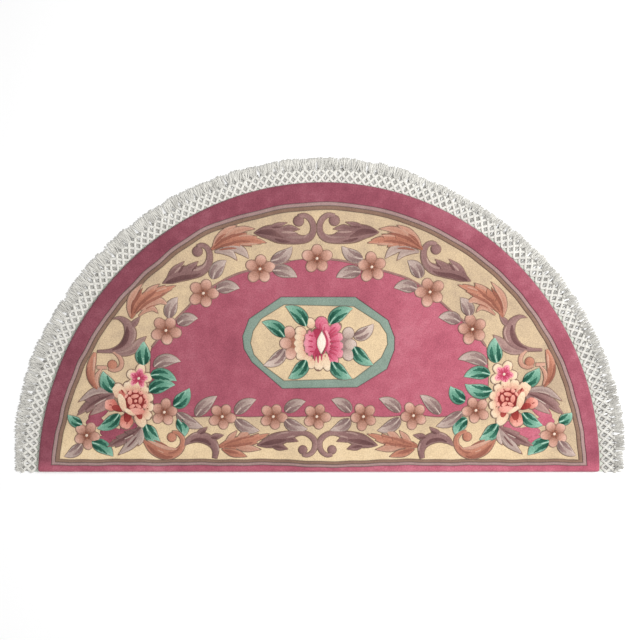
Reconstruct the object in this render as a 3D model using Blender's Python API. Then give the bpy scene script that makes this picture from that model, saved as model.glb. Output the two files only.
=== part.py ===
"""Half-moon Chinese rug of carved wool pile with a knotted cotton fringe, lying flat.

The rug is drawn about the middle of its straight edge: X runs along that edge,
Y runs from it to the crown of the arc and Z is up. Two pieces are made:

    rug_pile   the carved wool body, one flat slab with grooves cut round its design
    fringe     the cotton fringe sewn to the arc: heading, knotted net and loose locks

At the end an empty shifts both, so that the world origin is the middle of the
underside of the whole rug.
"""
import math
import random

import bmesh
import bpy
from mathutils import Vector

# Rug body, in metres
RUG_WIDTH = 1.370            # along the straight edge, without the fringe
RUG_DEPTH = 0.710            # straight edge to the crown of the arc
PILE_THICKNESS = 0.014       # knots, foundation and wool pile together
RIM_LEAN = 0.006             # the hand-made arc is full on the right, flat on the left
RIM_DRAW_IN = 0.003          # and a little low at its crown
RIM_STEPS = 84               # chords along the arc
CORNER_RADIUS = 0.006        # where the arc meets the straight edge
RIM_ROUNDING = 0.005         # the sheared pile rolls over at the rim

# Carved grooves
GROOVE_DEPTH = 0.0025
CUTTER_LIFT = 0.0006         # the cutter's widest line stays above the pile's face
GUARD_INSET = 0.042          # rim to the guard stripe, at the foot of the arc
GUARD_INSET_CROWN = 0.050    # the same at the crown
GUARD_INSET_FOOT = 0.015     # straight edge to the guard stripe
GUARD_STRIPE = 0.010         # each of its two stripes
GUARD_STEPS = 56

MEDALLION_CENTRE = Vector((0.0, 0.316))
MEDALLION_FRAME = 0.018      # width of the frame
# Corners of one quarter of the medallion, from its centre
MEDALLION_QUARTER = (Vector((0.186, 0.0)), Vector((0.171, 0.062)), Vector((0.091, 0.112)))

MEDALLION_ROSE_RADIUS = 0.066
BLOSSOM_RADIUS = 0.036
SMALL_BLOSSOM_RADIUS = 0.032
ROSE_RADIUS = 0.045
PETALS = 5
PETAL_DIP = 0.76             # radius between two petals, against the radius at their tips
PETAL_SHOULDER = math.radians(17)   # half of the blunt end of a petal

# Flower places for the right half, mirrored to the left: across, up, radius
CENTRE_FLOWERS = (
    (0.000, 0.522, BLOSSOM_RADIUS),
    (0.000, 0.316, MEDALLION_ROSE_RADIUS),
    (0.000, 0.135, BLOSSOM_RADIUS),
)
SIDE_FLOWERS = (
    (0.136, 0.499, BLOSSOM_RADIUS),
    (0.277, 0.438, BLOSSOM_RADIUS),
    (0.373, 0.347, BLOSSOM_RADIUS),
    (0.459, 0.172, ROSE_RADIUS),
    (0.375, 0.148, SMALL_BLOSSOM_RADIUS),
    (0.234, 0.136, BLOSSOM_RADIUS),
    (0.110, 0.135, BLOSSOM_RADIUS),
    (0.569, 0.091, BLOSSOM_RADIUS),
)

# Fringe
FRINGE_GAP = 0.0003          # clear of the pile's edge
FRINGE_THICKNESS = 0.003
NET_COLUMNS = 112            # knots along the arc
LOCKS_PER_COLUMN = 2
NET_ROWS = (0.0165, 0.0285)  # distance of each row of openings from the rim
OPENING_HALF_WIDTH = 0.0057
OPENING_HALF_LENGTH = 0.0068
LOCK_ROOT = 0.0375           # where the loose ends leave the last knots
LOCK_TIP_WIDTH = 0.0042
LOCK_UNEVEN = 0.004          # ends are longer or shorter by up to this
LOCK_SWAY = 0.0022           # and lean to a side by up to this
FRINGE_SEED = 11
# Reach of the fringe beyond the rim: angle round the arc in degrees, reach in metres
FRINGE_REACH = (
    (0, 0.058), (8, 0.068), (35, 0.061), (62, 0.051), (78, 0.059),
    (105, 0.059), (138, 0.068), (160, 0.071), (172, 0.066), (180, 0.056),
)


def clear_scene():
    """Remove whatever the open file holds."""
    for item in list(bpy.data.objects):
        bpy.data.objects.remove(item, do_unlink=True)


def new_collection(name):
    """Return a new collection linked to the scene."""
    collection = bpy.data.collections.new(name)
    bpy.context.scene.collection.children.link(collection)
    return collection


def plain_material(name, colour, roughness):
    """Return a Principled material of one colour."""
    material = bpy.data.materials.new(name)
    material.use_nodes = True
    shader = material.node_tree.nodes["Principled BSDF"]
    shader.inputs["Base Color"].default_value = (*colour, 1.0)
    shader.inputs["Roughness"].default_value = roughness
    shader.inputs["Metallic"].default_value = 0.0
    return material


def rim_at(angle):
    """Return the rim of the pile at an angle from +X, in radians."""
    lean = RIM_LEAN * math.sin(2 * angle) - RIM_DRAW_IN * math.sin(angle) ** 2
    across = (RUG_WIDTH / 2 + lean) * math.cos(angle)
    up = (RUG_DEPTH + lean) * math.sin(angle)
    return Vector((across, up))


def even_stations():
    """Return the angles that divide the rim into even lengths, as a function of a share."""
    fine = [math.pi * i / 720 for i in range(721)]
    run = [0.0]
    for before, after in zip(fine, fine[1:]):
        run.append(run[-1] + (rim_at(after) - rim_at(before)).length)

    def angle_of(share):
        wanted = min(max(share, 0.0), 1.0) * run[-1]
        for i in range(1, len(run)):
            if run[i] >= wanted:
                part = (wanted - run[i - 1]) / (run[i] - run[i - 1])
                return fine[i - 1] + part * (fine[i] - fine[i - 1])
        return math.pi

    return angle_of


def beyond_rim(angle, distance):
    """Return the point at a distance outside the rim, square to it."""
    step = 0.002
    low = max(angle - step, 0.0)
    high = min(angle + step, math.pi)
    along = (rim_at(high) - rim_at(low)).normalized()
    if angle < step or angle > math.pi - step:
        along = Vector((0.0, 1.0 if angle < step else -1.0))
    outward = Vector((along.y, -along.x))
    return rim_at(angle) + outward * distance


def table_value(table, key):
    """Return the value of a two-column table at a key, on straight lines between rows."""
    for (low, start), (high, end) in zip(table, table[1:]):
        if key <= high:
            return start + (end - start) * (key - low) / (high - low)
    return table[-1][1]


def flat_curve(name, loops, thickness):
    """Return a filled 2D curve object whose first loop is the outline and the rest holes."""
    curve = bpy.data.curves.new(name, "CURVE")
    curve.dimensions = "2D"
    curve.fill_mode = "BOTH"
    curve.extrude = thickness / 2
    for loop in loops:
        spline = curve.splines.new("POLY")
        spline.points.add(len(loop) - 1)
        for point, place in zip(spline.points, loop):
            point.co = (place.x, place.y, 0.0, 1.0)
        spline.use_cyclic_u = True
    return bpy.data.objects.new(name, curve)


def mesh_of_curve(name, curve_object, collection):
    """Turn a curve object into a mesh object with welded caps, and remove the curve."""
    collection.objects.link(curve_object)
    bpy.context.view_layer.update()
    evaluated = curve_object.evaluated_get(bpy.context.evaluated_depsgraph_get())
    mesh = bpy.data.meshes.new_from_object(evaluated)
    mesh.name = name
    made = bpy.data.objects.new(name + "_made", mesh)
    made.matrix_world = curve_object.matrix_world.copy()
    bpy.data.objects.remove(curve_object, do_unlink=True)
    made.name = name
    collection.objects.link(made)
    work = bmesh.new()
    work.from_mesh(mesh)
    bmesh.ops.remove_doubles(work, verts=work.verts, dist=0.00001)
    work.to_mesh(mesh)
    work.free()
    return made


def slab_outline(angle_of):
    """Return the outline of the pile, the arc from right to left closed by the straight edge."""
    return [rim_at(angle_of(i / RIM_STEPS)) for i in range(RIM_STEPS + 1)]


def round_slab(mesh):
    """Clean the slab's caps, round its two corners and roll its top rim over."""
    work = bmesh.new()
    work.from_mesh(mesh)
    top = max(vertex.co.z for vertex in work.verts)
    flat_edges = [edge for edge in work.edges
                  if len(edge.link_faces) == 2
                  and edge.link_faces[0].normal.dot(edge.link_faces[1].normal) > 0.99999]
    bmesh.ops.dissolve_edges(work, edges=flat_edges, use_verts=False)
    corners = [edge for edge in work.edges
               if abs(edge.verts[0].co.x - edge.verts[1].co.x) < 1e-6
               and abs(edge.verts[0].co.y) < 1e-6
               and abs(edge.verts[1].co.y) < 1e-6
               and abs(edge.verts[0].co.z - edge.verts[1].co.z) > 0.001]
    bmesh.ops.bevel(work, geom=corners, offset=CORNER_RADIUS, offset_type="OFFSET",
                    segments=3, profile=0.5, affect="EDGES")
    rim = [edge for edge in work.edges
           if all(abs(vertex.co.z - top) < 1e-6 for vertex in edge.verts)]
    bmesh.ops.bevel(work, geom=rim, offset=RIM_ROUNDING, offset_type="OFFSET",
                    segments=2, profile=0.5, affect="EDGES")
    work.to_mesh(mesh)
    work.free()


def guard_loop(extra):
    """Return one closed line of the guard stripe, moved in from its outer line by extra."""
    foot = GUARD_INSET_FOOT + extra
    half = RUG_WIDTH / 2 - GUARD_INSET - extra
    crown = RUG_DEPTH - GUARD_INSET_CROWN - extra
    start = math.asin(foot / crown)
    loop = []
    for i in range(GUARD_STEPS + 1):
        angle = start + (math.pi - 2 * start) * i / GUARD_STEPS
        lean = RIM_LEAN * math.sin(2 * angle)
        loop.append(Vector(((half + lean) * math.cos(angle), (crown + lean) * math.sin(angle))))
    return loop


def medallion_loop(inset):
    """Return the closed twelve-cornered line of the medallion, moved in by inset."""
    reach = MEDALLION_QUARTER[0].x
    share = (reach - inset) / reach
    rise = (MEDALLION_QUARTER[2].y - inset) / MEDALLION_QUARTER[2].y
    right_top = [Vector((corner.x * share, corner.y * rise)) for corner in MEDALLION_QUARTER]
    left_top = [Vector((-corner.x, corner.y)) for corner in reversed(right_top)]
    upper = right_top + left_top
    lower = [Vector((corner.x, -corner.y)) for corner in reversed(upper[1:-1])]
    return [MEDALLION_CENTRE + corner for corner in upper + lower]


def flower_loop(centre, radius):
    """Return the closed scalloped line round a flower of five petals."""
    loop = []
    for petal in range(PETALS):
        tip = math.pi / 2 + 2 * math.pi * petal / PETALS
        corners = (
            (tip - PETAL_SHOULDER, radius),
            (tip + PETAL_SHOULDER, radius),
            (tip + math.pi / PETALS, radius * PETAL_DIP),
        )
        for angle, reach in corners:
            loop.append(centre + reach * Vector((math.cos(angle), math.sin(angle))))
    return loop


def carved_flowers():
    """Return the centre and radius of every carved flower, the side ones on both halves."""
    flowers = [(Vector((across, up)), radius) for across, up, radius in CENTRE_FLOWERS]
    for across, up, radius in SIDE_FLOWERS:
        flowers.append((Vector((across, up)), radius))
        flowers.append((Vector((-across, up)), radius))
    return flowers


def groove_loops():
    """Return every closed line that is carved into the pile."""
    loops = [guard_loop(0.0), guard_loop(GUARD_STRIPE), guard_loop(2 * GUARD_STRIPE)]
    loops.append(medallion_loop(0.0))
    loops.append(medallion_loop(MEDALLION_FRAME))
    for centre, radius in carved_flowers():
        loops.append(flower_loop(centre, radius))
    return loops


def make_groove_cutter(collection):
    """Return one mesh object of four-sided tubes that run along every carved line."""
    curve = bpy.data.curves.new("carving", "CURVE")
    curve.dimensions = "3D"
    curve.twist_mode = "Z_UP"
    curve.bevel_depth = GROOVE_DEPTH + CUTTER_LIFT
    curve.bevel_resolution = 0
    for loop in groove_loops():
        spline = curve.splines.new("POLY")
        spline.points.add(len(loop) - 1)
        for point, place in zip(spline.points, loop):
            point.co = (place.x, place.y, PILE_THICKNESS + CUTTER_LIFT, 1.0)
        spline.use_cyclic_u = True
    cutter = mesh_of_curve("carving", bpy.data.objects.new("carving", curve), collection)
    cutter.hide_render = True
    cutter.display_type = "WIRE"
    return cutter


def make_pile(angle_of, pieces, cutters):
    """Make the wool body and carve its grooves."""
    outline = flat_curve("rug_pile", [slab_outline(angle_of)], PILE_THICKNESS)
    outline.location.z = PILE_THICKNESS / 2
    pile = mesh_of_curve("rug_pile", outline, pieces)
    round_slab(pile.data)
    carve = pile.modifiers.new("carve", "BOOLEAN")
    carve.operation = "DIFFERENCE"
    carve.solver = "EXACT"
    carve.object = make_groove_cutter(cutters)
    pile.data.materials.clear()
    pile.data.materials.append(plain_material("pink_wool", (0.48, 0.13, 0.19), 0.95))
    return pile


def fringe_outline(angle_of):
    """Return the outline of the fringe: the heading's edge, then the loose locks."""
    draw = random.Random(FRINGE_SEED)
    heading = [beyond_rim(angle_of(i / RIM_STEPS), FRINGE_GAP) for i in range(RIM_STEPS + 1)]
    locks = NET_COLUMNS * LOCKS_PER_COLUMN
    rim_length = sum((rim_at(angle_of((i + 1) / RIM_STEPS)) - rim_at(angle_of(i / RIM_STEPS))).length
                     for i in range(RIM_STEPS))
    half_tip = LOCK_TIP_WIDTH / 2 / rim_length
    ends = []
    for i in range(locks):
        middle = (i + 0.5) / locks
        sway = draw.uniform(-LOCK_SWAY, LOCK_SWAY) / rim_length
        middle = min(max(middle + sway, half_tip), 1.0 - half_tip)
        angle = angle_of(middle)
        reach = table_value(FRINGE_REACH, math.degrees(angle))
        reach += draw.uniform(-LOCK_UNEVEN, LOCK_UNEVEN)
        ends.append(beyond_rim(angle_of(i / locks), LOCK_ROOT))
        ends.append(beyond_rim(angle_of(middle - half_tip), reach))
        ends.append(beyond_rim(angle_of(middle + half_tip), reach))
    ends.append(beyond_rim(math.pi, LOCK_ROOT))
    return heading + ends[::-1]


def fringe_openings(angle_of):
    """Return the four-cornered openings of the knotted net, row by row."""
    openings = []
    for row, distance in enumerate(NET_ROWS):
        shift = 0.5 if row % 2 == 0 else 1.0
        count = NET_COLUMNS if row % 2 == 0 else NET_COLUMNS - 1
        for column in range(count):
            share = (column + shift) / NET_COLUMNS
            angle = angle_of(share)
            centre = beyond_rim(angle, distance)
            outward = (beyond_rim(angle, distance + 0.001) - centre).normalized()
            along = Vector((-outward.y, outward.x))
            openings.append([
                centre + along * OPENING_HALF_WIDTH,
                centre + outward * OPENING_HALF_LENGTH,
                centre - along * OPENING_HALF_WIDTH,
                centre - outward * OPENING_HALF_LENGTH,
            ])
    return openings


def make_fringe(angle_of, pieces):
    """Make the fringe as one flat piece whose net is cut through and whose locks part."""
    loops = [fringe_outline(angle_of)] + fringe_openings(angle_of)
    outline = flat_curve("fringe", loops, FRINGE_THICKNESS)
    outline.location.z = FRINGE_THICKNESS / 2
    fringe = mesh_of_curve("fringe", outline, pieces)
    fringe.data.materials.clear()
    fringe.data.materials.append(plain_material("fringe_cotton", (0.72, 0.71, 0.67), 0.9))
    return fringe


def centre_on_origin(objects, cutters, collection):
    """Shift everything with an empty, so that the middle of the underside is the origin."""
    bpy.context.view_layer.update()
    corners = [item.matrix_world @ Vector(corner) for item in objects for corner in item.bound_box]
    low = Vector((min(corner[i] for corner in corners) for i in range(3)))
    high = Vector((max(corner[i] for corner in corners) for i in range(3)))
    shift = bpy.data.objects.new("rug_origin", None)
    collection.objects.link(shift)
    for item in [*objects, *cutters.objects]:
        item.parent = shift
    shift.location = (-(low.x + high.x) / 2, -(low.y + high.y) / 2, -low.z)


def main():
    """Build the rug."""
    clear_scene()
    pieces = new_collection("half_moon_rug")
    cutters = new_collection("cutters")
    angle_of = even_stations()
    pile = make_pile(angle_of, pieces, cutters)
    fringe = make_fringe(angle_of, pieces)
    centre_on_origin([pile, fringe], cutters, pieces)


main()
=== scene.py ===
"""Looks of the half-moon carved wool rug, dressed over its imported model.

The rug is drawn as a weaver draws it, on squared paper. A square is one 562nd of the
straight edge, and squares are counted across and up from the middle of that edge.
Every region and motif is a closed pad of pile, raised by its shearing and sunk at its
carved edges, and the fringe is made of single yarns.
"""
import enum
import logging
import math
import random
from collections.abc import Sequence
from dataclasses import dataclass, field

import bpy
import numpy as np
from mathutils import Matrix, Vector


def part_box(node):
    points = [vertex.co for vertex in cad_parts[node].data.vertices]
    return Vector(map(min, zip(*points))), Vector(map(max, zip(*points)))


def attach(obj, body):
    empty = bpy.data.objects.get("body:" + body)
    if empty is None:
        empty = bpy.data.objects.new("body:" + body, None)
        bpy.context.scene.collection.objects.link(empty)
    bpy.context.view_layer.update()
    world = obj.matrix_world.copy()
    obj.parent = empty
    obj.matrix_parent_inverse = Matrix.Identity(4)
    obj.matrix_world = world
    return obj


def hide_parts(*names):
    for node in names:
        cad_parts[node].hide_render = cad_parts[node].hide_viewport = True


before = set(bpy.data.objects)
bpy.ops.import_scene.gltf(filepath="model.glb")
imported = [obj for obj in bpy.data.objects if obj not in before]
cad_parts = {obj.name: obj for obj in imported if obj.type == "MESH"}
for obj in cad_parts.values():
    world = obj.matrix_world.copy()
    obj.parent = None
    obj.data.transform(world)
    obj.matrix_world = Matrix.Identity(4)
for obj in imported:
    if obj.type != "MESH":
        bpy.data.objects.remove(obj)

LOG = logging.getLogger("half_moon_rug")
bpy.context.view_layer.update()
PILE_LOW, PILE_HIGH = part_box("rug_pile")
BODY = "root"

SQUARES_ACROSS = 562
SQUARE = (PILE_HIGH.x - PILE_LOW.x) / SQUARES_ACROSS
MM = 0.001

# Heights above the floor
PILE_FOOT = 3.8 * MM
GROUND = 12.9 * MM
GROOVE = 10.2 * MM
# How far the foot of a raised pad reaches below the ground pile
SINK = 2.4 * MM

# The arc of the rim, in squares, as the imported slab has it
HALF_WIDTH = 281.0
CROWN = 291.2
LEAN = 2.46
DRAW_IN = 1.23
# The point from which every region is measured round
HUB = (0.0, 129.5)

# Edge of the pile at a carved line and at the rim: squares in from it, height, carved edge (how much
# painted shade darkens the pile there)
BEVEL = tuple((inset, GROOVE + lift * (GROUND - GROOVE), edge) for inset, lift, edge in (
    (0.0, 0.0, 1.0), (0.22, 0.62, 0.6), (0.6, 0.92, 0.15), (1.3, 1.0, 0.0)))
RIM_ROLL = tuple((inset, lift * GROUND, edge) for inset, lift, edge in (
    (2.4, 1.0, 0.0), (1.2, 0.955, 0.05), (0.45, 0.84, 0.15), (0.05, 0.66, 0.3),
    (-0.15, 0.5, 0.45), (0.0, 0.36, 0.7)))
# Sections of a raised ribbon and pad: share of the half width, lift from -1, sunk, and edge (how much
# painted shade darkens the pile there)
WIDE_SECTION = ((-1, -1, 1), (-1, 0.3, 1), (-0.88, 0.76, 0.55), (-0.55, 0.97, 0.1), (0, 1, 0),
                (0.55, 0.97, 0.1), (0.88, 0.76, 0.55), (1, 0.3, 1), (1, -1, 1))
NARROW_SECTION = ((-1, -1, 1), (-1, 0.2, 0.7), (-0.6, 1, 0.1), (0.6, 1, 0.1), (1, 0.2, 0.7),
                  (1, -1, 1))
NARROW_WIDTH = 2.0
DOME = ((1.0, -1, 1.0), (1.0, 0.3, 1.0), (0.93, 0.74, 0.5), (0.78, 0.94, 0.12),
        (0.45, 1.0, 0.0), (0.12, 1.0, 0.0))

Knot = tuple[float, float, float]
Place = tuple[float, float]


def on_chart(across: np.ndarray, up: np.ndarray) -> tuple[np.ndarray, np.ndarray]:
    """Return the X and Y in metres of squares counted across and up on the chart."""
    middle = (PILE_LOW.x + PILE_HIGH.x) / 2
    return middle + np.asarray(across) * SQUARE, PILE_LOW.y + np.asarray(up) * SQUARE


def linear(*colour: int) -> tuple[float, ...]:
    """Return the linear colour that shaders take for a screen colour of 0 to 255."""
    shares = [part / 255 for part in colour]
    return (*(s / 12.92 if s <= 0.04045 else ((s + 0.055) / 1.055) ** 2.4 for s in shares), 1.0)


def smooth(knots: Sequence[Knot], step: float) -> np.ndarray:
    """Run a smooth line through knots.

    Args:
        knots: Rows of across, up and width, in squares.
        step: Longest distance between two points, in squares.

    Returns:
        Rows of across, up and width along the line.
    """
    table = np.array([knots[0], *knots, knots[-1]], dtype=float)
    rows = []
    for before, start, end, after in zip(table, table[1:], table[2:], table[3:]):
        count = max(2, math.ceil(np.hypot(*(end - start)[:2]) / step))
        t = np.arange(count)[:, None] / count
        rows.append(0.5 * (2 * start + (end - before) * t
                           + (2 * before - 5 * start + 4 * end - after) * t ** 2
                           + (3 * start - before - 3 * end + after) * t ** 3))
    line = np.concatenate([*rows, table[-1:]])
    line[:, 2] = np.maximum(line[:, 2], 0.0)
    return line


@dataclass
class Nodes:
    """Adds shader nodes to a tree and joins them."""

    tree: bpy.types.NodeTree

    def add(self, kind: str, settings: dict | None = None, **inputs: object) -> bpy.types.Node:
        """Add a node.

        Args:
            kind: Blender's name of the node type.
            settings: Properties of the node.
            inputs: Values or sockets for its inputs, spaces written as underscores.

        Returns:
            The new node.
        """
        node = self.tree.nodes.new(kind)
        node.location.x = 160 * len(self.tree.nodes)
        for name, value in (settings or {}).items():
            setattr(node, name, value)
        for name, value in inputs.items():
            self.feed(node.inputs[name.replace("_", " ")], value)
        return node

    def feed(self, socket: bpy.types.NodeSocket, value: object) -> None:
        """Join a socket to an input, or set the input's own value.

        Args:
            socket: The input.
            value: A socket, or the value itself.
        """
        if isinstance(value, bpy.types.NodeSocket):
            self.tree.links.new(value, socket)
        else:
            socket.default_value = value

    def noise(self, place: bpy.types.NodeSocket, scale: float, detail: float) -> bpy.types.NodeSocket:
        """Return a noise of a scale and detail, from 0 to 1."""
        return self.add("ShaderNodeTexNoise", None, Vector=place, Scale=scale,
                        Detail=detail).outputs[0]

    def mark(self, name: str) -> bpy.types.NodeSocket:
        """Return a value that the mesh carries at each of its points."""
        return self.add("ShaderNodeAttribute", {"attribute_name": name}).outputs["Fac"]

    def math(self, operation: str, first: object, second: object = 0.0,
             clamp: bool = False) -> bpy.types.NodeSocket:
        """Do one sum.

        Args:
            operation: Blender's name of the sum.
            first: Its first value or socket.
            second: Its second value or socket.
            clamp: True to hold the result between 0 and 1.

        Returns:
            The result.
        """
        node = self.add("ShaderNodeMath", {"operation": operation, "use_clamp": clamp})
        self.feed(node.inputs[0], first)
        self.feed(node.inputs[1], second)
        return node.outputs[0]

    def blend(self, share: object, first: object, second: object,
              kind: str = "MIX") -> bpy.types.NodeSocket:
        """Blend two colours.

        Args:
            share: How much of the second colour there is.
            first: The first colour.
            second: The second colour.
            kind: Blender's name of the way to blend.

        Returns:
            The blended colour.
        """
        node = self.add("ShaderNodeMix", {"data_type": "RGBA", "blend_type": kind})
        for socket, value in zip((node.inputs["Factor"], *node.inputs[6:8]), (share, first, second)):
            self.feed(socket, value)
        return node.outputs[2]

    def span(self, value: object, source: Place, target: Place) -> bpy.types.NodeSocket:
        """Return a value moved from one span to another, and held inside it."""
        return self.add("ShaderNodeMapRange", None, Value=value, From_Min=source[0],
                        From_Max=source[1], To_Min=target[0], To_Max=target[1]).outputs["Result"]


@dataclass
class Surface(Nodes):
    """A shared node group that gives a colour, a roughness and a height."""

    @classmethod
    def start(cls, name: str, numbers: Sequence[str], colours: Sequence[str] = ("Shade", "Body")
              ) -> tuple["Surface", bpy.types.bpy_prop_collection, bpy.types.NodeSocket]:
        """Start the group.

        Args:
            name: The group's name.
            numbers: Names of the numbers that it takes.
            colours: Names of the colours that it takes.

        Returns:
            The group, what it takes, and the place in the piece's own frame.
        """
        group = bpy.data.node_groups.new(name, "ShaderNodeTree")
        sockets = [*((label, "INPUT", "Color") for label in colours),
                   *((label, "INPUT", "Float") for label in numbers), ("Colour", "OUTPUT", "Color"),
                   ("Roughness", "OUTPUT", "Float"), ("Height", "OUTPUT", "Float")]
        for label, way, kind in sockets:
            group.interface.new_socket(label, in_out=way, socket_type="NodeSocket" + kind)
        surface = cls(group)
        taken = surface.add("NodeGroupInput").outputs
        return surface, taken, surface.add("ShaderNodeTexCoord").outputs["Object"]

    def give(self, colour: bpy.types.NodeSocket, rough: bpy.types.NodeSocket,
             height: bpy.types.NodeSocket) -> None:
        """Hand out the group's colour, roughness and height."""
        self.add("NodeGroupOutput", None, Colour=colour, Roughness=rough, Height=height)


def make_pile_surface() -> None:
    """Make the group that gives cut wool pile its colour, roughness and tufts."""
    nodes, taken, place = Surface.start("cut_wool_pile", ("Mottle", "Nap", "Foot"),
                                        ("Shade", "Body", "Light"))
    blotch, patch = nodes.noise(place, 6.5, 3.0), nodes.noise(place, 42.0, 3.0)
    grain = nodes.noise(place, 310.0, 2.0)
    tuft = nodes.add("ShaderNodeTexVoronoi", None, Vector=place, Scale=360.0).outputs["Distance"]
    wide = nodes.math("MULTIPLY", nodes.math("SUBTRACT", blotch, 0.5), 1.3)
    near = nodes.math("SUBTRACT", patch, 0.5)
    uneven = nodes.math("MULTIPLY", nodes.math("ADD", wide, near), taken["Mottle"])
    fine = nodes.math("MULTIPLY", nodes.math("SUBTRACT", grain, 0.5), 0.55)
    level = nodes.math("ADD", nodes.math("MULTIPLY", nodes.mark("tone"), 0.5), 0.5)
    level = nodes.math("ADD", nodes.math("ADD", level, uneven), fine)
    lower = nodes.blend(nodes.math("MULTIPLY", level, 2.0, True), taken["Shade"], taken["Body"])
    upper = nodes.math("SUBTRACT", nodes.math("MULTIPLY", level, 2.0), 1.0, True)
    colour = nodes.blend(upper, lower, taken["Light"])
    # Painted shade: the pile is painted darker at its carved edges and on the roll of the rim
    groove_shade = nodes.math("SUBTRACT", 1.0, nodes.math("MULTIPLY", nodes.mark("edge"), 0.34))
    # Painted shade: the pile is painted darker between its tufts
    tuft_gap_shade = nodes.span(tuft, (0.25, 0.75), (1.03, 0.84))
    # Painted light: the pile is painted darker on its left and lighter on its right by the side-light
    # input, and lighter near the straight edge by the foot-light input
    parts = nodes.add("ShaderNodeSeparateXYZ", None, Vector=place).outputs
    side_light = nodes.math("MULTIPLY", nodes.span(parts["X"], (-0.65, 0.65), (-1.0, 1.0)), taken["Nap"])
    foot_light_mask = nodes.span(parts["Y"], (PILE_LOW.y + 0.010, PILE_LOW.y + 0.030), (1.0, 0.0))
    side_light = nodes.math("ADD", side_light, nodes.math("MULTIPLY", foot_light_mask, taken["Foot"]))
    factor = nodes.math("MULTIPLY", nodes.math("MULTIPLY", groove_shade, tuft_gap_shade),
                        nodes.math("ADD", side_light, 1.0))
    grey = nodes.add("ShaderNodeCombineColor", None, Red=factor, Green=factor, Blue=factor)
    height = nodes.math("ADD", nodes.math("MULTIPLY", nodes.span(tuft, (0.0, 0.8), (1.0, 0.0)), 0.7),
                        nodes.math("MULTIPLY", grain, 0.5))
    nodes.give(nodes.blend(1.0, colour, grey.outputs[0], "MULTIPLY"),
               nodes.span(grain, (0.3, 0.7), (0.82, 0.98)), height)


def make_yarn_surface() -> None:
    """Make the group that gives twisted cotton yarn its colour and its plies."""
    nodes, taken, place = Surface.start("twisted_cotton", ("Twist",))
    turns = nodes.math("MULTIPLY", nodes.mark("along"), taken["Twist"])
    turns = nodes.math("ADD", turns, nodes.mark("edge"))
    wave = nodes.math("SINE", nodes.math("MULTIPLY", turns, 2 * math.pi))
    lint, cloud = nodes.noise(place, 420.0, 2.0), nodes.noise(place, 30.0, 2.0)
    level = nodes.math("ADD", nodes.math("MULTIPLY", wave, 0.16), 0.62)
    level = nodes.math("ADD", level, nodes.math("MULTIPLY", nodes.mark("tone"), 0.5))
    speck = nodes.math("ADD", nodes.math("SUBTRACT", lint, 0.5), nodes.math("SUBTRACT", cloud, 0.5))
    level = nodes.math("ADD", level, nodes.math("MULTIPLY", speck, 0.6), True)
    nodes.give(nodes.blend(level, taken["Shade"], taken["Body"]),
               nodes.span(lint, (0.3, 0.7), (0.78, 0.95)),
               nodes.math("ADD", nodes.math("MULTIPLY", wave, 0.5), lint))


def make_weave_surface() -> None:
    """Make the group that gives woven cotton its threads."""
    nodes, taken, place = Surface.start("plain_weave", ("Threads",))
    parts = nodes.add("ShaderNodeSeparateXYZ", None, Vector=place).outputs
    warp, weft = (nodes.math("SINE", nodes.math("MULTIPLY", parts[axis], taken["Threads"]))
                  for axis in ("X", "Y"))
    cross = nodes.math("MULTIPLY", warp, weft)
    lint = nodes.noise(place, 180.0, 3.0)
    level = nodes.math("ADD", nodes.math("MULTIPLY", cross, 0.25), lint, True)
    nodes.give(nodes.blend(level, taken["Shade"], taken["Body"]),
               nodes.span(lint, (0.3, 0.7), (0.8, 0.95)),
               nodes.math("ADD", nodes.math("MULTIPLY", cross, 0.6),
                          nodes.math("MULTIPLY", lint, 0.4)))


@dataclass(frozen=True)
class Finish:
    """A dressed surface: one shared group with this surface's own values."""

    name: str
    group: str
    values: dict
    bump: float = 0.5
    bump_distance: float = 0.6 * MM
    sheen: float = 0.25

    def material(self) -> bpy.types.Material:
        """Return the material, made once.

        Returns:
            The material.
        """
        known = bpy.data.materials.get(self.name)
        if known:
            return known
        material = bpy.data.materials.new(self.name)
        material.use_nodes = True
        nodes = Nodes(material.node_tree)
        shader = material.node_tree.nodes["Principled BSDF"]
        effect = nodes.add("ShaderNodeGroup", {"node_tree": bpy.data.node_groups[self.group]})
        for label, value in self.values.items():
            effect.inputs[label].default_value = value
        bump = nodes.add("ShaderNodeBump", None, Strength=self.bump, Distance=self.bump_distance,
                         Height=effect.outputs["Height"])
        for label, value in (
                ("Base Color", effect.outputs["Colour"]), ("Normal", bump.outputs["Normal"]),
                ("Roughness", effect.outputs["Roughness"]), ("Sheen Weight", self.sheen),
                ("Sheen Roughness", 0.5), ("Specular IOR Level", 0.15)):
            nodes.feed(shader.inputs[label], value)
        return material


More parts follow.
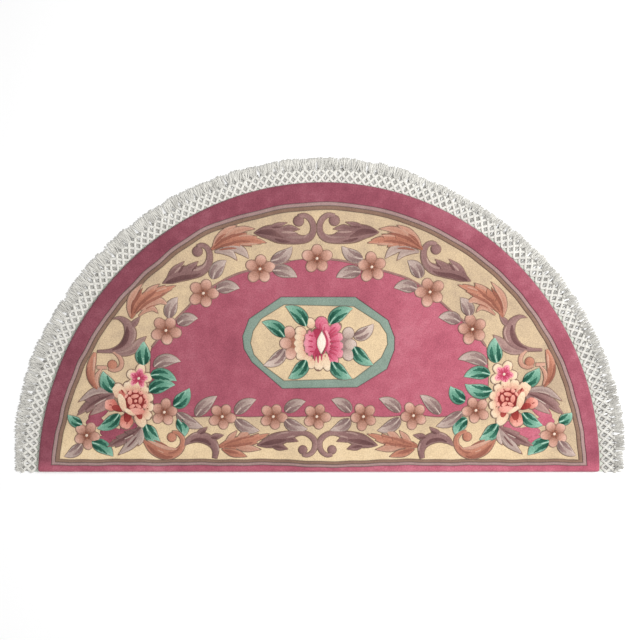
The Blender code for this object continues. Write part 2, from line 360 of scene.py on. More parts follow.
class Dye(enum.Enum):
    """The dyed wools: shade, body and light in screen colours, then mottle, painted side light (darker
    left, lighter right) and painted foot light (lighter along the straight edge).
    """

    ROSE = (134, 60, 77), (174, 90, 107), (200, 124, 138), 0.5, 0.28
    ROSE_BAND = (114, 50, 66), (148, 77, 92), (182, 112, 126), 0.6, 0.22, 0.5
    CREAM = (186, 163, 137), (225, 199, 160), (240, 220, 188), 0.5, -0.02
    GUARD_PALE = (134, 104, 102), (164, 135, 131), (190, 164, 158)
    GUARD_DARK = (100, 74, 62), (138, 108, 92), (164, 136, 118)
    TEAL = (100, 122, 108), (133, 151, 138), (160, 176, 163), 0.4, 0.05
    LEAF = (54, 112, 90), (106, 156, 134), (160, 200, 178), 0.3
    LEAF_DARK = (12, 54, 44), (26, 78, 62), (62, 118, 98), 0.3
    LEAF_PALE = (122, 172, 150), (164, 202, 182), (206, 226, 210), 0.3
    MAUVE = (136, 112, 108), (174, 152, 143), (204, 184, 174)
    MAUVE_DARK = (98, 74, 73), (132, 106, 103), (160, 134, 128)
    MAUVE_PALE = (166, 142, 133), (198, 176, 164), (220, 202, 190)
    PLUM = (104, 72, 71), (142, 107, 104), (176, 143, 135), 0.4, 0.1
    PLUM_DARK = (76, 47, 50), (108, 74, 73), (138, 103, 98), 0.4, 0.1
    PLUM_PALE = (136, 104, 101), (170, 138, 130), (198, 169, 157), 0.4, 0.1
    RUST = (148, 91, 73), (186, 125, 103), (210, 154, 130)
    RUST_DARK = (116, 66, 54), (148, 92, 76), (174, 116, 98)
    RUST_PALE = (178, 126, 106), (202, 156, 135), (224, 186, 164)
    PEACH = (150, 104, 88), (197, 149, 131), (224, 183, 165), 0.35
    THROAT = (110, 62, 48), (142, 88, 70), (176, 120, 98)
    # Brown outline yarn round the motifs, which also serves as painted shade in their carved grooves
    LINE = (120, 88, 76), (150, 117, 101), (172, 140, 124)
    VINE = (112, 76, 74), (146, 108, 102), (172, 136, 126)
    PETAL_PINK = (176, 70, 96), (214, 110, 134), (238, 170, 178), 0.35
    PETAL_DEEP = (140, 34, 60), (182, 62, 90), (208, 100, 122), 0.35
    PETAL_CREAM = (208, 146, 126), (229, 199, 168), (244, 227, 200), 0.3
    CORAL = (164, 76, 66), (202, 118, 104), (232, 168, 152), 0.35
    RED = (92, 22, 24), (136, 44, 42), (176, 80, 72), 0.35
    WHITE = (222, 196, 176), (246, 230, 214), (254, 246, 236), 0.2

    def finish(self) -> Finish:
        """Return the finish of this wool.

        Returns:
            The finish, with the usual mottle, painted side light and painted foot light where the wool
            names none.
        """
        shade, body, light, *rest = self.value
        # The side light and the foot light are painted light, not part of the wool's dye
        mottle, side_light, foot = (*rest, *(0.4, 0.04, 0.0)[len(rest):])
        return Finish("wool_" + self.name.lower(), "cut_wool_pile",
                      {"Shade": linear(*shade), "Body": linear(*body), "Light": linear(*light),
                       "Mottle": mottle, "Nap": side_light, "Foot": foot})


WOOLS = {dye: dye.finish() for dye in Dye}
COTTON = Finish("cotton_yarn", "twisted_cotton",
                {"Shade": linear(136, 133, 127), "Body": linear(232, 230, 223), "Twist": 260.0},
                0.6, 0.4 * MM, 0.2)
HEADING = Finish("cotton_heading", "plain_weave",
                 {"Shade": linear(168, 176, 164), "Body": linear(222, 226, 214),
                  "Threads": 2600.0}, 0.5, 0.4 * MM, 0.15)
FOUNDATION = Finish("woven_foundation", "plain_weave",
                    {"Shade": linear(176, 160, 132), "Body": linear(222, 208, 180),
                     "Threads": 1700.0}, 0.5, 0.5 * MM, 0.1)


@dataclass
class Cloth:
    """Collects closed lofts of one piece and makes its mesh."""

    name: str
    finishes: list[Finish] = field(default_factory=list)
    points: list[np.ndarray] = field(default_factory=list)
    faces: list[tuple[int, ...]] = field(default_factory=list)
    slots: list[int] = field(default_factory=list)
    marks: list[list[np.ndarray]] = field(default_factory=list)
    count: int = 0

    def loft(self, rings: np.ndarray, finish: Finish, tone: np.ndarray | float = 0.0,
             edge: np.ndarray | float = 0.0, along: np.ndarray | float = 0.0,
             closed: bool = False) -> None:
        """Join rings of points into a closed body.

        Args:
            rings: Points in metres, ring by ring, counter-clockwise seen along the loft.
            finish: The surface of the whole body.
            tone: From -1, the dye's shade, to 1, its light, for each point.
            edge: 1 at a carved edge, 0 away from it, for each point; on pile it paints shade into the
                groove.
            along: Length along a yarn in metres, for each point.
            closed: True if the last ring joins the first.
        """
        if finish not in self.finishes:
            self.finishes.append(finish)
        ring_count, size = rings.shape[:2]
        index = self.count + np.arange(ring_count * size).reshape(ring_count, size)
        if closed:
            index = np.vstack([index, index[:1]])
        here, there = index[:-1], index[1:]
        quads = np.stack([here, np.roll(here, -1, 1), np.roll(there, -1, 1), there], axis=-1)
        faces = [*map(tuple, quads.reshape(-1, 4).tolist())]
        if not closed:
            faces += [tuple(index[0][::-1].tolist()), tuple(index[-1].tolist())]
        self.faces += faces
        self.slots += [self.finishes.index(finish)] * len(faces)
        self.points.append(rings.reshape(-1, 3))
        self.marks.append([np.broadcast_to(value, rings.shape[:2]).ravel().astype(float)
                           for value in (tone, edge, along)])
        self.count += ring_count * size

    def make(self, flat: bool = False) -> bpy.types.Object:
        """Make the piece as an object that rides on the rug.

        Args:
            flat: True to leave its faces unsmoothed.

        Returns:
            The new object.
        """
        mesh = bpy.data.meshes.new(self.name)
        mesh.from_pydata(np.concatenate(self.points).tolist(), [], self.faces)
        for finish in self.finishes:
            mesh.materials.append(finish.material())
        mesh.polygons.foreach_set("material_index", self.slots)
        mesh.polygons.foreach_set("use_smooth", [not flat] * len(mesh.polygons))
        for label, values in zip(("tone", "edge", "along"), zip(*self.marks)):
            layer = mesh.attributes.new(label, "FLOAT", "POINT")
            layer.data.foreach_set("value", np.concatenate(values))
        mesh.update()
        piece = bpy.data.objects.new(self.name, mesh)
        bpy.context.scene.collection.objects.link(piece)
        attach(piece, BODY)
        return piece


def swell(x: np.ndarray, y: np.ndarray) -> np.ndarray:
    """Return the gentle unevenness of sheared pile, from -1 to 1, at places in metres."""
    return (np.sin(31 * x + 9 * y + 0.4) + np.sin(-17 * x + 37 * y + 1.9)
            + 0.7 * np.sin(83 * x - 61 * y) + 0.6 * np.sin(57 * x + 97 * y + 2.2)) / 3.3


@dataclass
class Pile(Cloth):
    """A piece of cut pile, drawn about a middle of its own and mirrored on the right half."""

    middle: Place = (0.0, 0.0)
    flip: int = 1
    # How much higher its pads lie, each a little above the last, in millimetres
    lift: float = 0.0
    # Width of a pad's dark outline in squares, and how much lower it is in millimetres; the outline is
    # brown yarn and also painted groove shade
    rim: Place = (0.4, 0.9)

    def ribbon(self, knots: Sequence[Knot], dye: Dye, rise: float, tone: Place = (0.0, 0.0),
               side: float = 0.0, teeth: float = 0.0, extra: float = 0.0,
               rib: float = 0.0) -> None:
        """Add a ribbon of pile along a smooth line.

        Args:
            knots: Rows of across, up and full width, in squares.
            dye: Its wool.
            rise: Height above the ground pile, in millimetres.
            tone: Tone at its start and end.
            side: Tone added on its left and taken away on its right.
            teeth: Saw teeth along each side, which point to its end.
            extra: Width added all along it, in squares.
            rib: How much darker its middle line is than its edges, in tone.
        """
        line = smooth([(*self.place(*knot[:2]), knot[2]) for knot in knots], 1.0 if teeth else 2.2)
        line[:, 2] += np.where(line[:, 2] > 0.2, extra, extra * 0.4)
        slope = np.gradient(line[:, :2], axis=0)
        slope /= np.maximum(np.hypot(slope[:, 0], slope[:, 1]), 1e-9)[:, None]
        normal = np.stack([-slope[:, 1], slope[:, 0]], axis=1)
        section = NARROW_SECTION if line[:, 2].max() < NARROW_WIDTH else WIDE_SECTION
        cut, lift, edge = np.array(section, dtype=float).T[:, None]
        run = np.linspace(0, 1, len(line))[:, None]
        half = np.maximum(line[:, 2:], 0.05) / 2 * cut
        forward = np.zeros_like(half)
        if teeth:
            phase = (run * teeth + np.where(cut > 0, 0.0, 0.5)) % 1
            half = half * (0.66 + 0.34 * phase)
            forward = np.abs(half) * 0.45 * phase
        across = line[:, :1] + normal[:, :1] * half + slope[:, :1] * forward
        up = line[:, 1:2] + normal[:, 1:] * half + slope[:, 1:] * forward
        share = np.clip(line[:, 2:] / 1.6, 0.25, 1.0)
        height = GROUND + np.where(lift < 0, -SINK, lift * rise * MM * share)
        tones = tone[0] + (tone[1] - tone[0]) * run + side * cut + rib * (np.abs(cut) - 0.6)
        rings = np.stack([*on_chart(across, up), height], axis=-1)
        self.loft(rings[:, ::-1], WOOLS[dye], tones[:, ::-1], edge[:, ::-1])

    def place(self, across: float, up: float) -> Place:
        """Return where a place counted from the piece's own middle lies on the chart."""
        return self.middle[0] + self.flip * across, self.middle[1] + up

    def pad(self, across: float, up: float, long: float, wide: float, turn: float, dye: Dye,
            rise: float, tone: Place = (0.0, 0.0), lobes: int = 0, dent: float = 0.1,
            pinch: float = 0.0, line: bool = True) -> None:
        """Add a domed pad of pile.

        Args:
            across: Squares to the right of the piece's own middle, as drawn for the left half.
            up: Squares above that middle.
            long: Its reach along its own axis, in squares.
            wide: Its reach across its axis.
            turn: Its axis, in degrees from across.
            dye: Its wool.
            rise: Height above the ground pile, in millimetres.
            tone: Tone at the back and at the front of its axis.
            lobes: Scallops round its edge.
            dent: Depth of the dips between scallops, as a share.
            pinch: From 0, oval, to 1, pointed at both ends of its axis.
            line: True to put a dark pad under it that shows as its outline, brown yarn that also stands
                in for painted shade in the groove.
        """
        lift = self.lift * (1 + 0.00004 * len(self.faces))
        if line:
            self.pad(across, up, long + self.rim[0], wide + self.rim[0], turn, Dye.LINE,
                     rise - self.rim[1], pinch=pinch, line=False)
        size = max(16, 4 * lobes, math.ceil(3.2 * max(long, wide)))
        angle = np.linspace(0, 2 * math.pi, size, endpoint=False)
        scallop = 1 - dent * (1 - np.abs(np.sin(angle * lobes / 2))) if lobes else 1.0
        own_x = np.cos(angle) * scallop
        own_y = np.sin(angle) * (1 - pinch * np.cos(angle) ** 2) * scallop
        share, level, edge = np.array(DOME).T[:, :, None]
        along, side = own_x * share * long, own_y * share * wide
        spin = math.radians(turn if self.flip > 0 else 180 - turn)
        left, foot = self.place(across, up)
        x, y = on_chart(left + along * math.cos(spin) - side * math.sin(spin),
                        foot + along * math.sin(spin) + side * math.cos(spin))
        height = np.where(level < 0, -SINK, level * (rise + lift) * MM) + np.zeros(size)
        tones = tone[0] + (tone[1] - tone[0]) * (own_x * share + 1) / 2
        self.loft(np.stack([x, y, GROUND + height], axis=-1), WOOLS[dye], tones, edge)


def rim_line(count: int) -> np.ndarray:
    """Return the rim of the arc from right to left, in squares, at even angles.

    Args:
        count: How many points it has.

    Returns:
        Rows of across and up.
    """
    angle = np.linspace(0, math.pi, count)
    lean = LEAN * np.sin(2 * angle) - DRAW_IN * np.sin(angle) ** 2
    return np.stack([(HALF_WIDTH + lean) * np.cos(angle), (CROWN + lean) * np.sin(angle)], axis=1)


def outward(line: np.ndarray) -> np.ndarray:
    """Find the way out of the rim at each of its points.

    Args:
        line: The rim, run from right to left.

    Returns:
        Unit directions, square to the rim and level at its two ends.
    """
    slope = np.gradient(line, axis=0)
    slope /= np.hypot(slope[:, 0], slope[:, 1])[:, None]
    away = np.stack([slope[:, 1], -slope[:, 0]], axis=1)
    away[0], away[-1] = (1.0, 0.0), (-1.0, 0.0)
    return away


@dataclass(frozen=True)
class Loop:
    """A closed line on the chart that every ray from the hub crosses once."""

    line: np.ndarray

    @classmethod
    def through(cls, corners: Sequence[Place]) -> "Loop":
        """Join corners with straight lines.

        Args:
            corners: Places of the corners, in order.

        Returns:
            The loop.
        """
        table = np.array([*corners, corners[0]], dtype=float)
        parts = []
        for start, end in zip(table, table[1:]):
            count = max(1, math.ceil(np.hypot(*(end - start)) / 1.5))
            parts.append(start + (end - start) * (np.arange(count) / count)[:, None])
        return cls(np.concatenate(parts))

    @classmethod
    def rim(cls, radius: float = 2.4) -> "Loop":
        """Draw the rug's own rim.

        Args:
            radius: Radius of its two corners, in squares.

        Returns:
            The loop.
        """
        line = rim_line(361)
        right = [(HALF_WIDTH - radius + radius * math.sin(t), radius - radius * math.cos(t))
                 for t in np.linspace(0, math.pi / 2, 5)[:-1]]
        left = [(-across, up) for across, up in reversed(right)]
        return cls.through([*right, *line[line[:, 1] > radius], *left])

    @classmethod
    def guard(cls, extra: float) -> "Loop":
        """Draw the outer line of the guard stripe, with the wavering of hand work.

        Args:
            extra: Squares to move it in by.

        Returns:
            The loop.
        """
        rim = rim_line(721)
        across, rise = rim[:, :1], rim[:, 1:]
        foot = 6.6 + 0.85 * extra
        inset = 12.2 + 3 * (1 - np.exp(-rise / 40)) + 5 * (rise / CROWN) ** 2 + 1.12 * extra
        inset -= 3 * np.exp(-((across + 126) / 34) ** 2) * (rise > 120)
        inset += 0.28 * np.sin(across / 9.1 + rise / 8.3) + 0.2 * np.sin(rise / 3.9)
        line = rim - outward(rim) * inset
        line = line[line[:, 1] > foot + 0.6]
        low = np.linspace(line[-1, 0] - 0.2, line[0, 0] + 0.2, 260)
        dip = 2.4 * np.exp(-((low - 14) / 32) ** 2)
        waver = 0.3 * np.sin(low / 11.3) + 0.22 * np.sin(low / 4.7 + 1.3)
        return cls.through([*line, *np.stack([low, foot - dip + waver], axis=1)])

    def reach(self, angles: np.ndarray) -> np.ndarray:
        """Measure how far the loop is from the hub.

        Args:
            angles: Angles seen from the hub.

        Returns:
            The distance along each angle, in squares.
        """
        away = self.line - np.array(HUB)
        own = np.arctan2(away[:, 1], away[:, 0])
        order = np.argsort(own)
        return np.interp(angles, own[order], np.hypot(away[:, 0], away[:, 1])[order],
                         period=2 * math.pi)

    def corners(self) -> np.ndarray:
        """Find where the loop turns sharply.

        Returns:
            The angles of those places, seen from the hub.
        """
        step = np.diff(self.line, axis=0, append=self.line[:1])
        heading = np.arctan2(step[:, 1], step[:, 0])
        turn = np.abs((heading - np.roll(heading, 1) + math.pi) % (2 * math.pi) - math.pi)
        sharp = self.line[turn > 0.15] - np.array(HUB)
        return np.arctan2(sharp[:, 1], sharp[:, 0])


# Edge of the rose field, and the two lines of the medallion's frame
FIELD_EDGE = (
    (-1.8, 214), (-28.8, 211), (-58.8, 203), (-75.8, 200), (-92.8, 193), (-115.8, 179),
    (-133.8, 162), (-152.8, 142), (-166.8, 125), (-168.8, 107), (-168.8, 82), (-162, 64),
    (-140.8, 57), (-122.8, 55), (-96.8, 56), (-68.8, 55), (-45.8, 56), (-23.8, 55), (-2, 56),
    (20, 55), (44, 56), (68, 55), (94, 57), (120, 55), (140, 58), (162, 66), (169, 82),
    (169, 107), (167, 126), (153.3, 143), (131, 162), (111, 180), (92, 192), (76, 198),
    (53, 204), (25, 211),
)
FRAME_OUTER = (
    (-37.9, 175), (-69.9, 153), (-76.4, 135.7), (-75, 123.1), (-67, 109.9), (-36.6, 83.5),
    (38.2, 84.7), (68, 103), (75.5, 122), (75.7, 134.6), (69.2, 151.8), (36.4, 175),
)
FRAME_INNER = (
    (-34.8, 167.3), (-57.6, 153.2), (-65.8, 141), (-68.4, 129), (-65, 117.4), (-54.3, 105.8),
    (-34.8, 91.2), (35.3, 93.2), (52.5, 106.2), (62.5, 114.6), (68.6, 127.7), (67.8, 138),
    (60.6, 149), (34.7, 165.6),
)


@dataclass
class Grounds:
    """The woven foundation and the plain regions of pile that lie on it."""

    stations: int = 1100
    core_stations: int = 360
    core_rows: int = 12
    core_middle: float = 0.6
    # Most of a region's width that one of its bevels may take
    bevel_share: float = 0.4
    # Share of the rim's reach, squares drawn in, height in millimetres
    foundation_rows: Sequence[Knot] = (
        (0.002, 0.0, 0.0), (1.0, 1.0, 0.0), (1.0, 0.45, 0.3), (1.0, 0.45, 3.3), (1.0, 1.0, 3.6),
        (0.002, 0.0, 3.6),
    )

    @staticmethod
    def angles(count: int, *loops: Loop) -> np.ndarray:
        """Return even angles round the hub, with the corners of loops among them."""
        even = np.linspace(-math.pi, math.pi, count, endpoint=False)
        return np.unique(np.concatenate([even, *(loop.corners() for loop in loops)]))

    @staticmethod
    def obliqueness(angles: np.ndarray, reach: np.ndarray) -> np.ndarray:
        """Return how much longer a ray's way across a line is than the square way."""
        slope = np.gradient(reach, angles)
        return np.minimum(np.hypot(slope, reach) / reach, 3.0)

    @staticmethod
    def rings(angles: np.ndarray, rows: Sequence[tuple], waver: float = 0.0) -> tuple:
        """Turn rows round the hub into points.

        Args:
            angles: Angles seen from the hub.
            rows: Reach along each angle in squares, height and carved edge of each row.
            waver: Unevenness of the ground pile, in millimetres.

        Returns:
            The points, their places across and up, and the carved edges, row by row.
        """
        reach = np.array([row[0] for row in rows])
        height, edge = np.array([row[1:] for row in rows]).T[:, :, None]
        across, up = HUB[0] + reach * np.cos(angles), HUB[1] + reach * np.sin(angles)
        x, y = on_chart(across, up)
        level = height + np.where(height == GROUND, waver * MM * swell(x, y), 0.0)
        return np.stack([x, y, level], axis=-1), across, up, edge

    def region(self, name: str, inner: Loop, outer: Loop, dye: Dye, rows: int,
               outside: Sequence[Knot] = BEVEL[::-1], arc_shade: float = 0.0) -> bpy.types.Object:
        """Make the ring of pile between two loops.

        Args:
            name: Name of the piece.
            inner: Loop at its inside.
            outer: Loop at its outside.
            dye: Its wool.
            rows: Rows of faces across its plain middle.
            outside: How its pile comes down at its outside.
            arc_shade: Painted shade: how much darker its pile is, all but along the straight edge, and
                most at the right flank.

        Returns:
            The piece.
        """
        angles = self.angles(self.stations, inner, outer)
        start, end = inner.reach(angles), outer.reach(angles)
        most = (end - start) * self.bevel_share
        lean_in, lean_out = self.obliqueness(angles, start), self.obliqueness(angles, end)
        near = [(start + np.minimum(inset * lean_in, most), height, edge)
                for inset, height, edge in BEVEL]
        far = [(end - np.minimum(inset * lean_out, most), height, edge)
               for inset, height, edge in outside]
        first, last = near[-1][0], far[0][0]
        plain = [(first + (last - first) * row / rows, GROUND, 0.0) for row in range(1, rows)]
        rings, across, up, edges = self.rings(
            angles, [(start, PILE_FOOT, 1.0), *near, *plain, *far, (end, PILE_FOOT, 1.0)], 0.35)
        # Painted shade: the pile is painted darker up the arc and darker still toward the right flank
        right = np.clip((across - 190) / 50, 0, 1)
        tones = -arc_shade * np.clip((up - 26) / 28 + right, 0, 1 + 0.5 * right)
        piece = Cloth(name)
        piece.loft(rings.swapaxes(0, 1)[:, ::-1], WOOLS[dye], tones.T[:, ::-1],
                   edges.T[:, ::-1], closed=True)
        return piece.make()

    def core(self, name: str, outer: Loop, dye: Dye, tone: float) -> bpy.types.Object:
        """Make the region of pile inside one loop.

        Args:
            name: Name of the piece.
            outer: The loop.
            dye: Its wool.
            tone: Its tone.

        Returns:
            The piece.
        """
        middle = Loop.through([(HUB[0] + self.core_middle * math.cos(i * math.pi / 8),
                                HUB[1] + self.core_middle * math.sin(i * math.pi / 8))
                               for i in range(16)])
        angles = self.angles(self.core_stations, outer)
        end, start = outer.reach(angles), middle.reach(angles)
        lean = self.obliqueness(angles, end)
        rows = [(end, PILE_FOOT, 1.0),
                *((end - inset * lean, height, edge) for inset, height, edge in BEVEL)]
        flat = rows[-1][0]
        rows += [(flat + (start - flat) * row / self.core_rows, GROUND, 0.0)
                 for row in range(1, self.core_rows + 1)]
        rings, _, _, edges = self.rings(angles, rows, 0.3)
        piece = Cloth(name)
        piece.loft(rings, WOOLS[dye], tone, edges)
        return piece.make()

    def foundation(self, rim: Loop) -> bpy.types.Object:
        """Make the woven foundation under the whole pile.

        Args:
            rim: The rug's rim.

        Returns:
            The piece.
        """
        angles = self.angles(720, rim)
        reach = rim.reach(angles)
        rows = [(reach * share - inset, height * MM, 0.0)
                for share, inset, height in self.foundation_rows]
        piece = Cloth("foundation")
        piece.loft(self.rings(angles, rows)[0], FOUNDATION)
        return piece.make(flat=True)

    def build(self) -> list[bpy.types.Object]:
        """Make every region.

        Returns:
            The pieces, from the foundation to the middle of the medallion.
        """
        rim, guards = Loop.rim(), [Loop.guard(extra) for extra in (0.0, 3.4, 7.0)]
        field_edge = Loop(smooth([(*place, 1) for place in (*FIELD_EDGE, FIELD_EDGE[0])],
                                 1.5)[:-1, :2])
        frame_outer, frame_inner = Loop.through(FRAME_OUTER), Loop.through(FRAME_INNER)
        return [
            self.foundation(rim),
            self.region("rose_band", guards[0], rim, Dye.ROSE_BAND, 8, RIM_ROLL),
            self.region("guard_stripe_pale", guards[1], guards[0], Dye.GUARD_PALE, 2),
            self.region("guard_stripe_dark", guards[2], guards[1], Dye.GUARD_DARK, 2),
            self.region("border_ground", field_edge, guards[2], Dye.CREAM, 20, arc_shade=0.6),
            self.region("field_ground", frame_outer, field_edge, Dye.ROSE, 26),
            self.region("medallion_frame", frame_inner, frame_outer, Dye.TEAL, 3),
            self.core("medallion_ground", frame_inner, Dye.CREAM, -0.25),
        ]



@dataclass
class Blossoms:
    """The small flowers of five round petals."""

    radius: float = 14.2
    # Reach of a petal along and across its axis in squares, and its place on the radius
    petal: Place = (5.9, 5.3)
    petal_place: float = 0.61
    rim: Place = (0.4, 1.2)
    # Size against the usual flower: along the arc, along the foot, and the pale ones
    arc_scale: float = 1.04
    foot_scale: float = 0.94
    pale_scale: float = 0.98
    # Across, up, turn of the first petal in degrees
    peach: Sequence[Knot] = (
        (-1.8, 213.5, 90), (-58.8, 203.0, 85), (53.0, 205.0, 95), (-115.4, 178.7, 72),
        (111.2, 180.0, 108), (-152.8, 141.5, 60), (153.6, 142.8, 104), (-154.4, 59.8, 80),
        (157.0, 61.6, 114), (-96.5, 55.4, 62), (-45.5, 55.4, 66), (-2.0, 55.4, 68),
        (44.6, 55.4, 44), (94.6, 56.4, 44), (-232.0, 36.6, 62), (235.4, 38.0, 45),
    )
    pale: Sequence[Knot] = ((-180.0, 93.6, 78), (185.2, 97.8, 66))
    # Shading of a throat, petal by petal: spread in radians, share of the radius, width
    peach_throat: Sequence[Knot] = (
        (0.0, 0.5, 2.2), (-0.62, 0.78, 1.3), (-0.3, 0.52, 1.0), (0.3, 0.52, 1.0),
    )
    pale_throat: Sequence[Knot] = (
        (0.0, 0.84, 2.2), (-0.3, 0.8, 1.7), (0.3, 0.8, 1.7), (0.0, 0.6, 1.2),
    )

    def petals(self, piece: Pile, turn: float, pale: bool, scale: float) -> None:
        """Add the five petals.

        Args:
            piece: The flower's piece.
            turn: Turn of the first petal, in degrees.
            pale: True for a cream flower with pink petal hearts.
            scale: Its size against the usual flower.
        """
        for i in range(5):
            angle = turn + 72 * i
            way = np.array([math.cos(math.radians(angle)), math.sin(math.radians(angle))])
            uneven = 1.0 + 0.06 * math.sin(2.3 * i + piece.middle[0])
            spot = self.radius * self.petal_place * scale * uneven * way
            long, wide = self.petal[0] * scale * uneven, self.petal[1] * scale
            if pale:
                piece.pad(*spot, long, wide, angle, Dye.PETAL_CREAM, 2.5, (-0.8, 0.7), 5, 0.08)
                piece.pad(*(0.72 * spot), 0.98 * long, 0.8 * wide, angle, Dye.PETAL_PINK, 2.62,
                          (-0.9, 1.3), 5, 0.12, line=False)
            else:
                warmth = 0.75 + 0.25 * math.sin(1.7 * i + piece.middle[1])
                piece.pad(*spot, long, wide, angle, Dye.PEACH, 2.5, (-1.1, warmth))

    def throat(self, piece: Pile, turn: float, pale: bool, scale: float) -> None:
        """Add the shaded throat and the white eye.

        Args:
            piece: The flower's piece.
            turn: Turn of the first petal, in degrees.
            pale: True for a cream flower.
            scale: Its size against the usual flower.
        """
        dye = Dye.PETAL_DEEP if pale else Dye.THROAT
        for i in range(5):
            for spread, share, wide in self.pale_throat if pale else self.peach_throat:
                angle = math.radians(turn + 72 * i) + spread
                far = self.radius * share * scale
                piece.ribbon([(out * math.cos(angle), out * math.sin(angle), width)
                              for out, width in ((0.8, 0.8 * wide), (0.5 * far, wide), (far, 0.2))],
                             dye, 2.75, (-0.3, 0.9))
        piece.pad(0, 0, 1.7, 1.5, 40, Dye.WHITE, 3.4, (-1.2, -0.4), line=False)

    def build(self) -> list[bpy.types.Object]:
        """Make every small flower as a piece of its own.

        Returns:
            The pieces.
        """
        rows = [(f"blossom_{number:02d}", row, False,
                 self.arc_scale if row[1] > 100 else self.foot_scale)
                for number, row in enumerate(self.peach, 1)]
        rows += [(f"pale_flower_{side}", row, True, self.pale_scale)
                 for side, row in zip(("left", "right"), self.pale)]
        made = []
        for name, (across, up, turn), pale, scale in rows:
            piece = Pile(name, middle=(across, up), rim=self.rim)
            self.petals(piece, turn, pale, scale)
            self.throat(piece, turn, pale, scale)
            made.append(piece.make())
        return made


@dataclass(frozen=True)
class LeafWools:
    """The wools of one kind of leaf, and how many pale veins it has on each side."""

    body: Dye
    dark: Dye
    pale: Dye
    veins: int
    vein: float = 0.7


GREEN = LeafWools(Dye.LEAF, Dye.LEAF_DARK, Dye.LEAF_PALE, 4)
GREY = LeafWools(Dye.MAUVE, Dye.MAUVE_DARK, Dye.MAUVE_PALE, 3)
PALE_GREY = LeafWools(Dye.MAUVE_PALE, Dye.MAUVE_DARK, Dye.MAUVE, 2, 1.0)


@dataclass(frozen=True)
class Leaf:
    """One small leaf: where its base and tip are, its width, and its bend to the left."""

    base_across: float
    base_up: float
    tip_across: float
    tip_up: float
    width: float
    bend: float

    def knot(self, along: float, aside: float, wide: float) -> Knot:
        """Place a knot on the leaf.

        Args:
            along: Share of the way from its base to its tip.
            aside: Share of its half width to the left of its bent middle line.
            wide: Width of the ribbon there, in squares.

        Returns:
            The knot.
        """
        axis = (self.tip_across - self.base_across, self.tip_up - self.base_up)
        off = (4 * along * (1 - along) * self.bend
               + aside * self.width / 2 / math.hypot(*axis))
        return (self.base_across + axis[0] * along - axis[1] * off,
                self.base_up + axis[1] * along + axis[0] * off, wide)


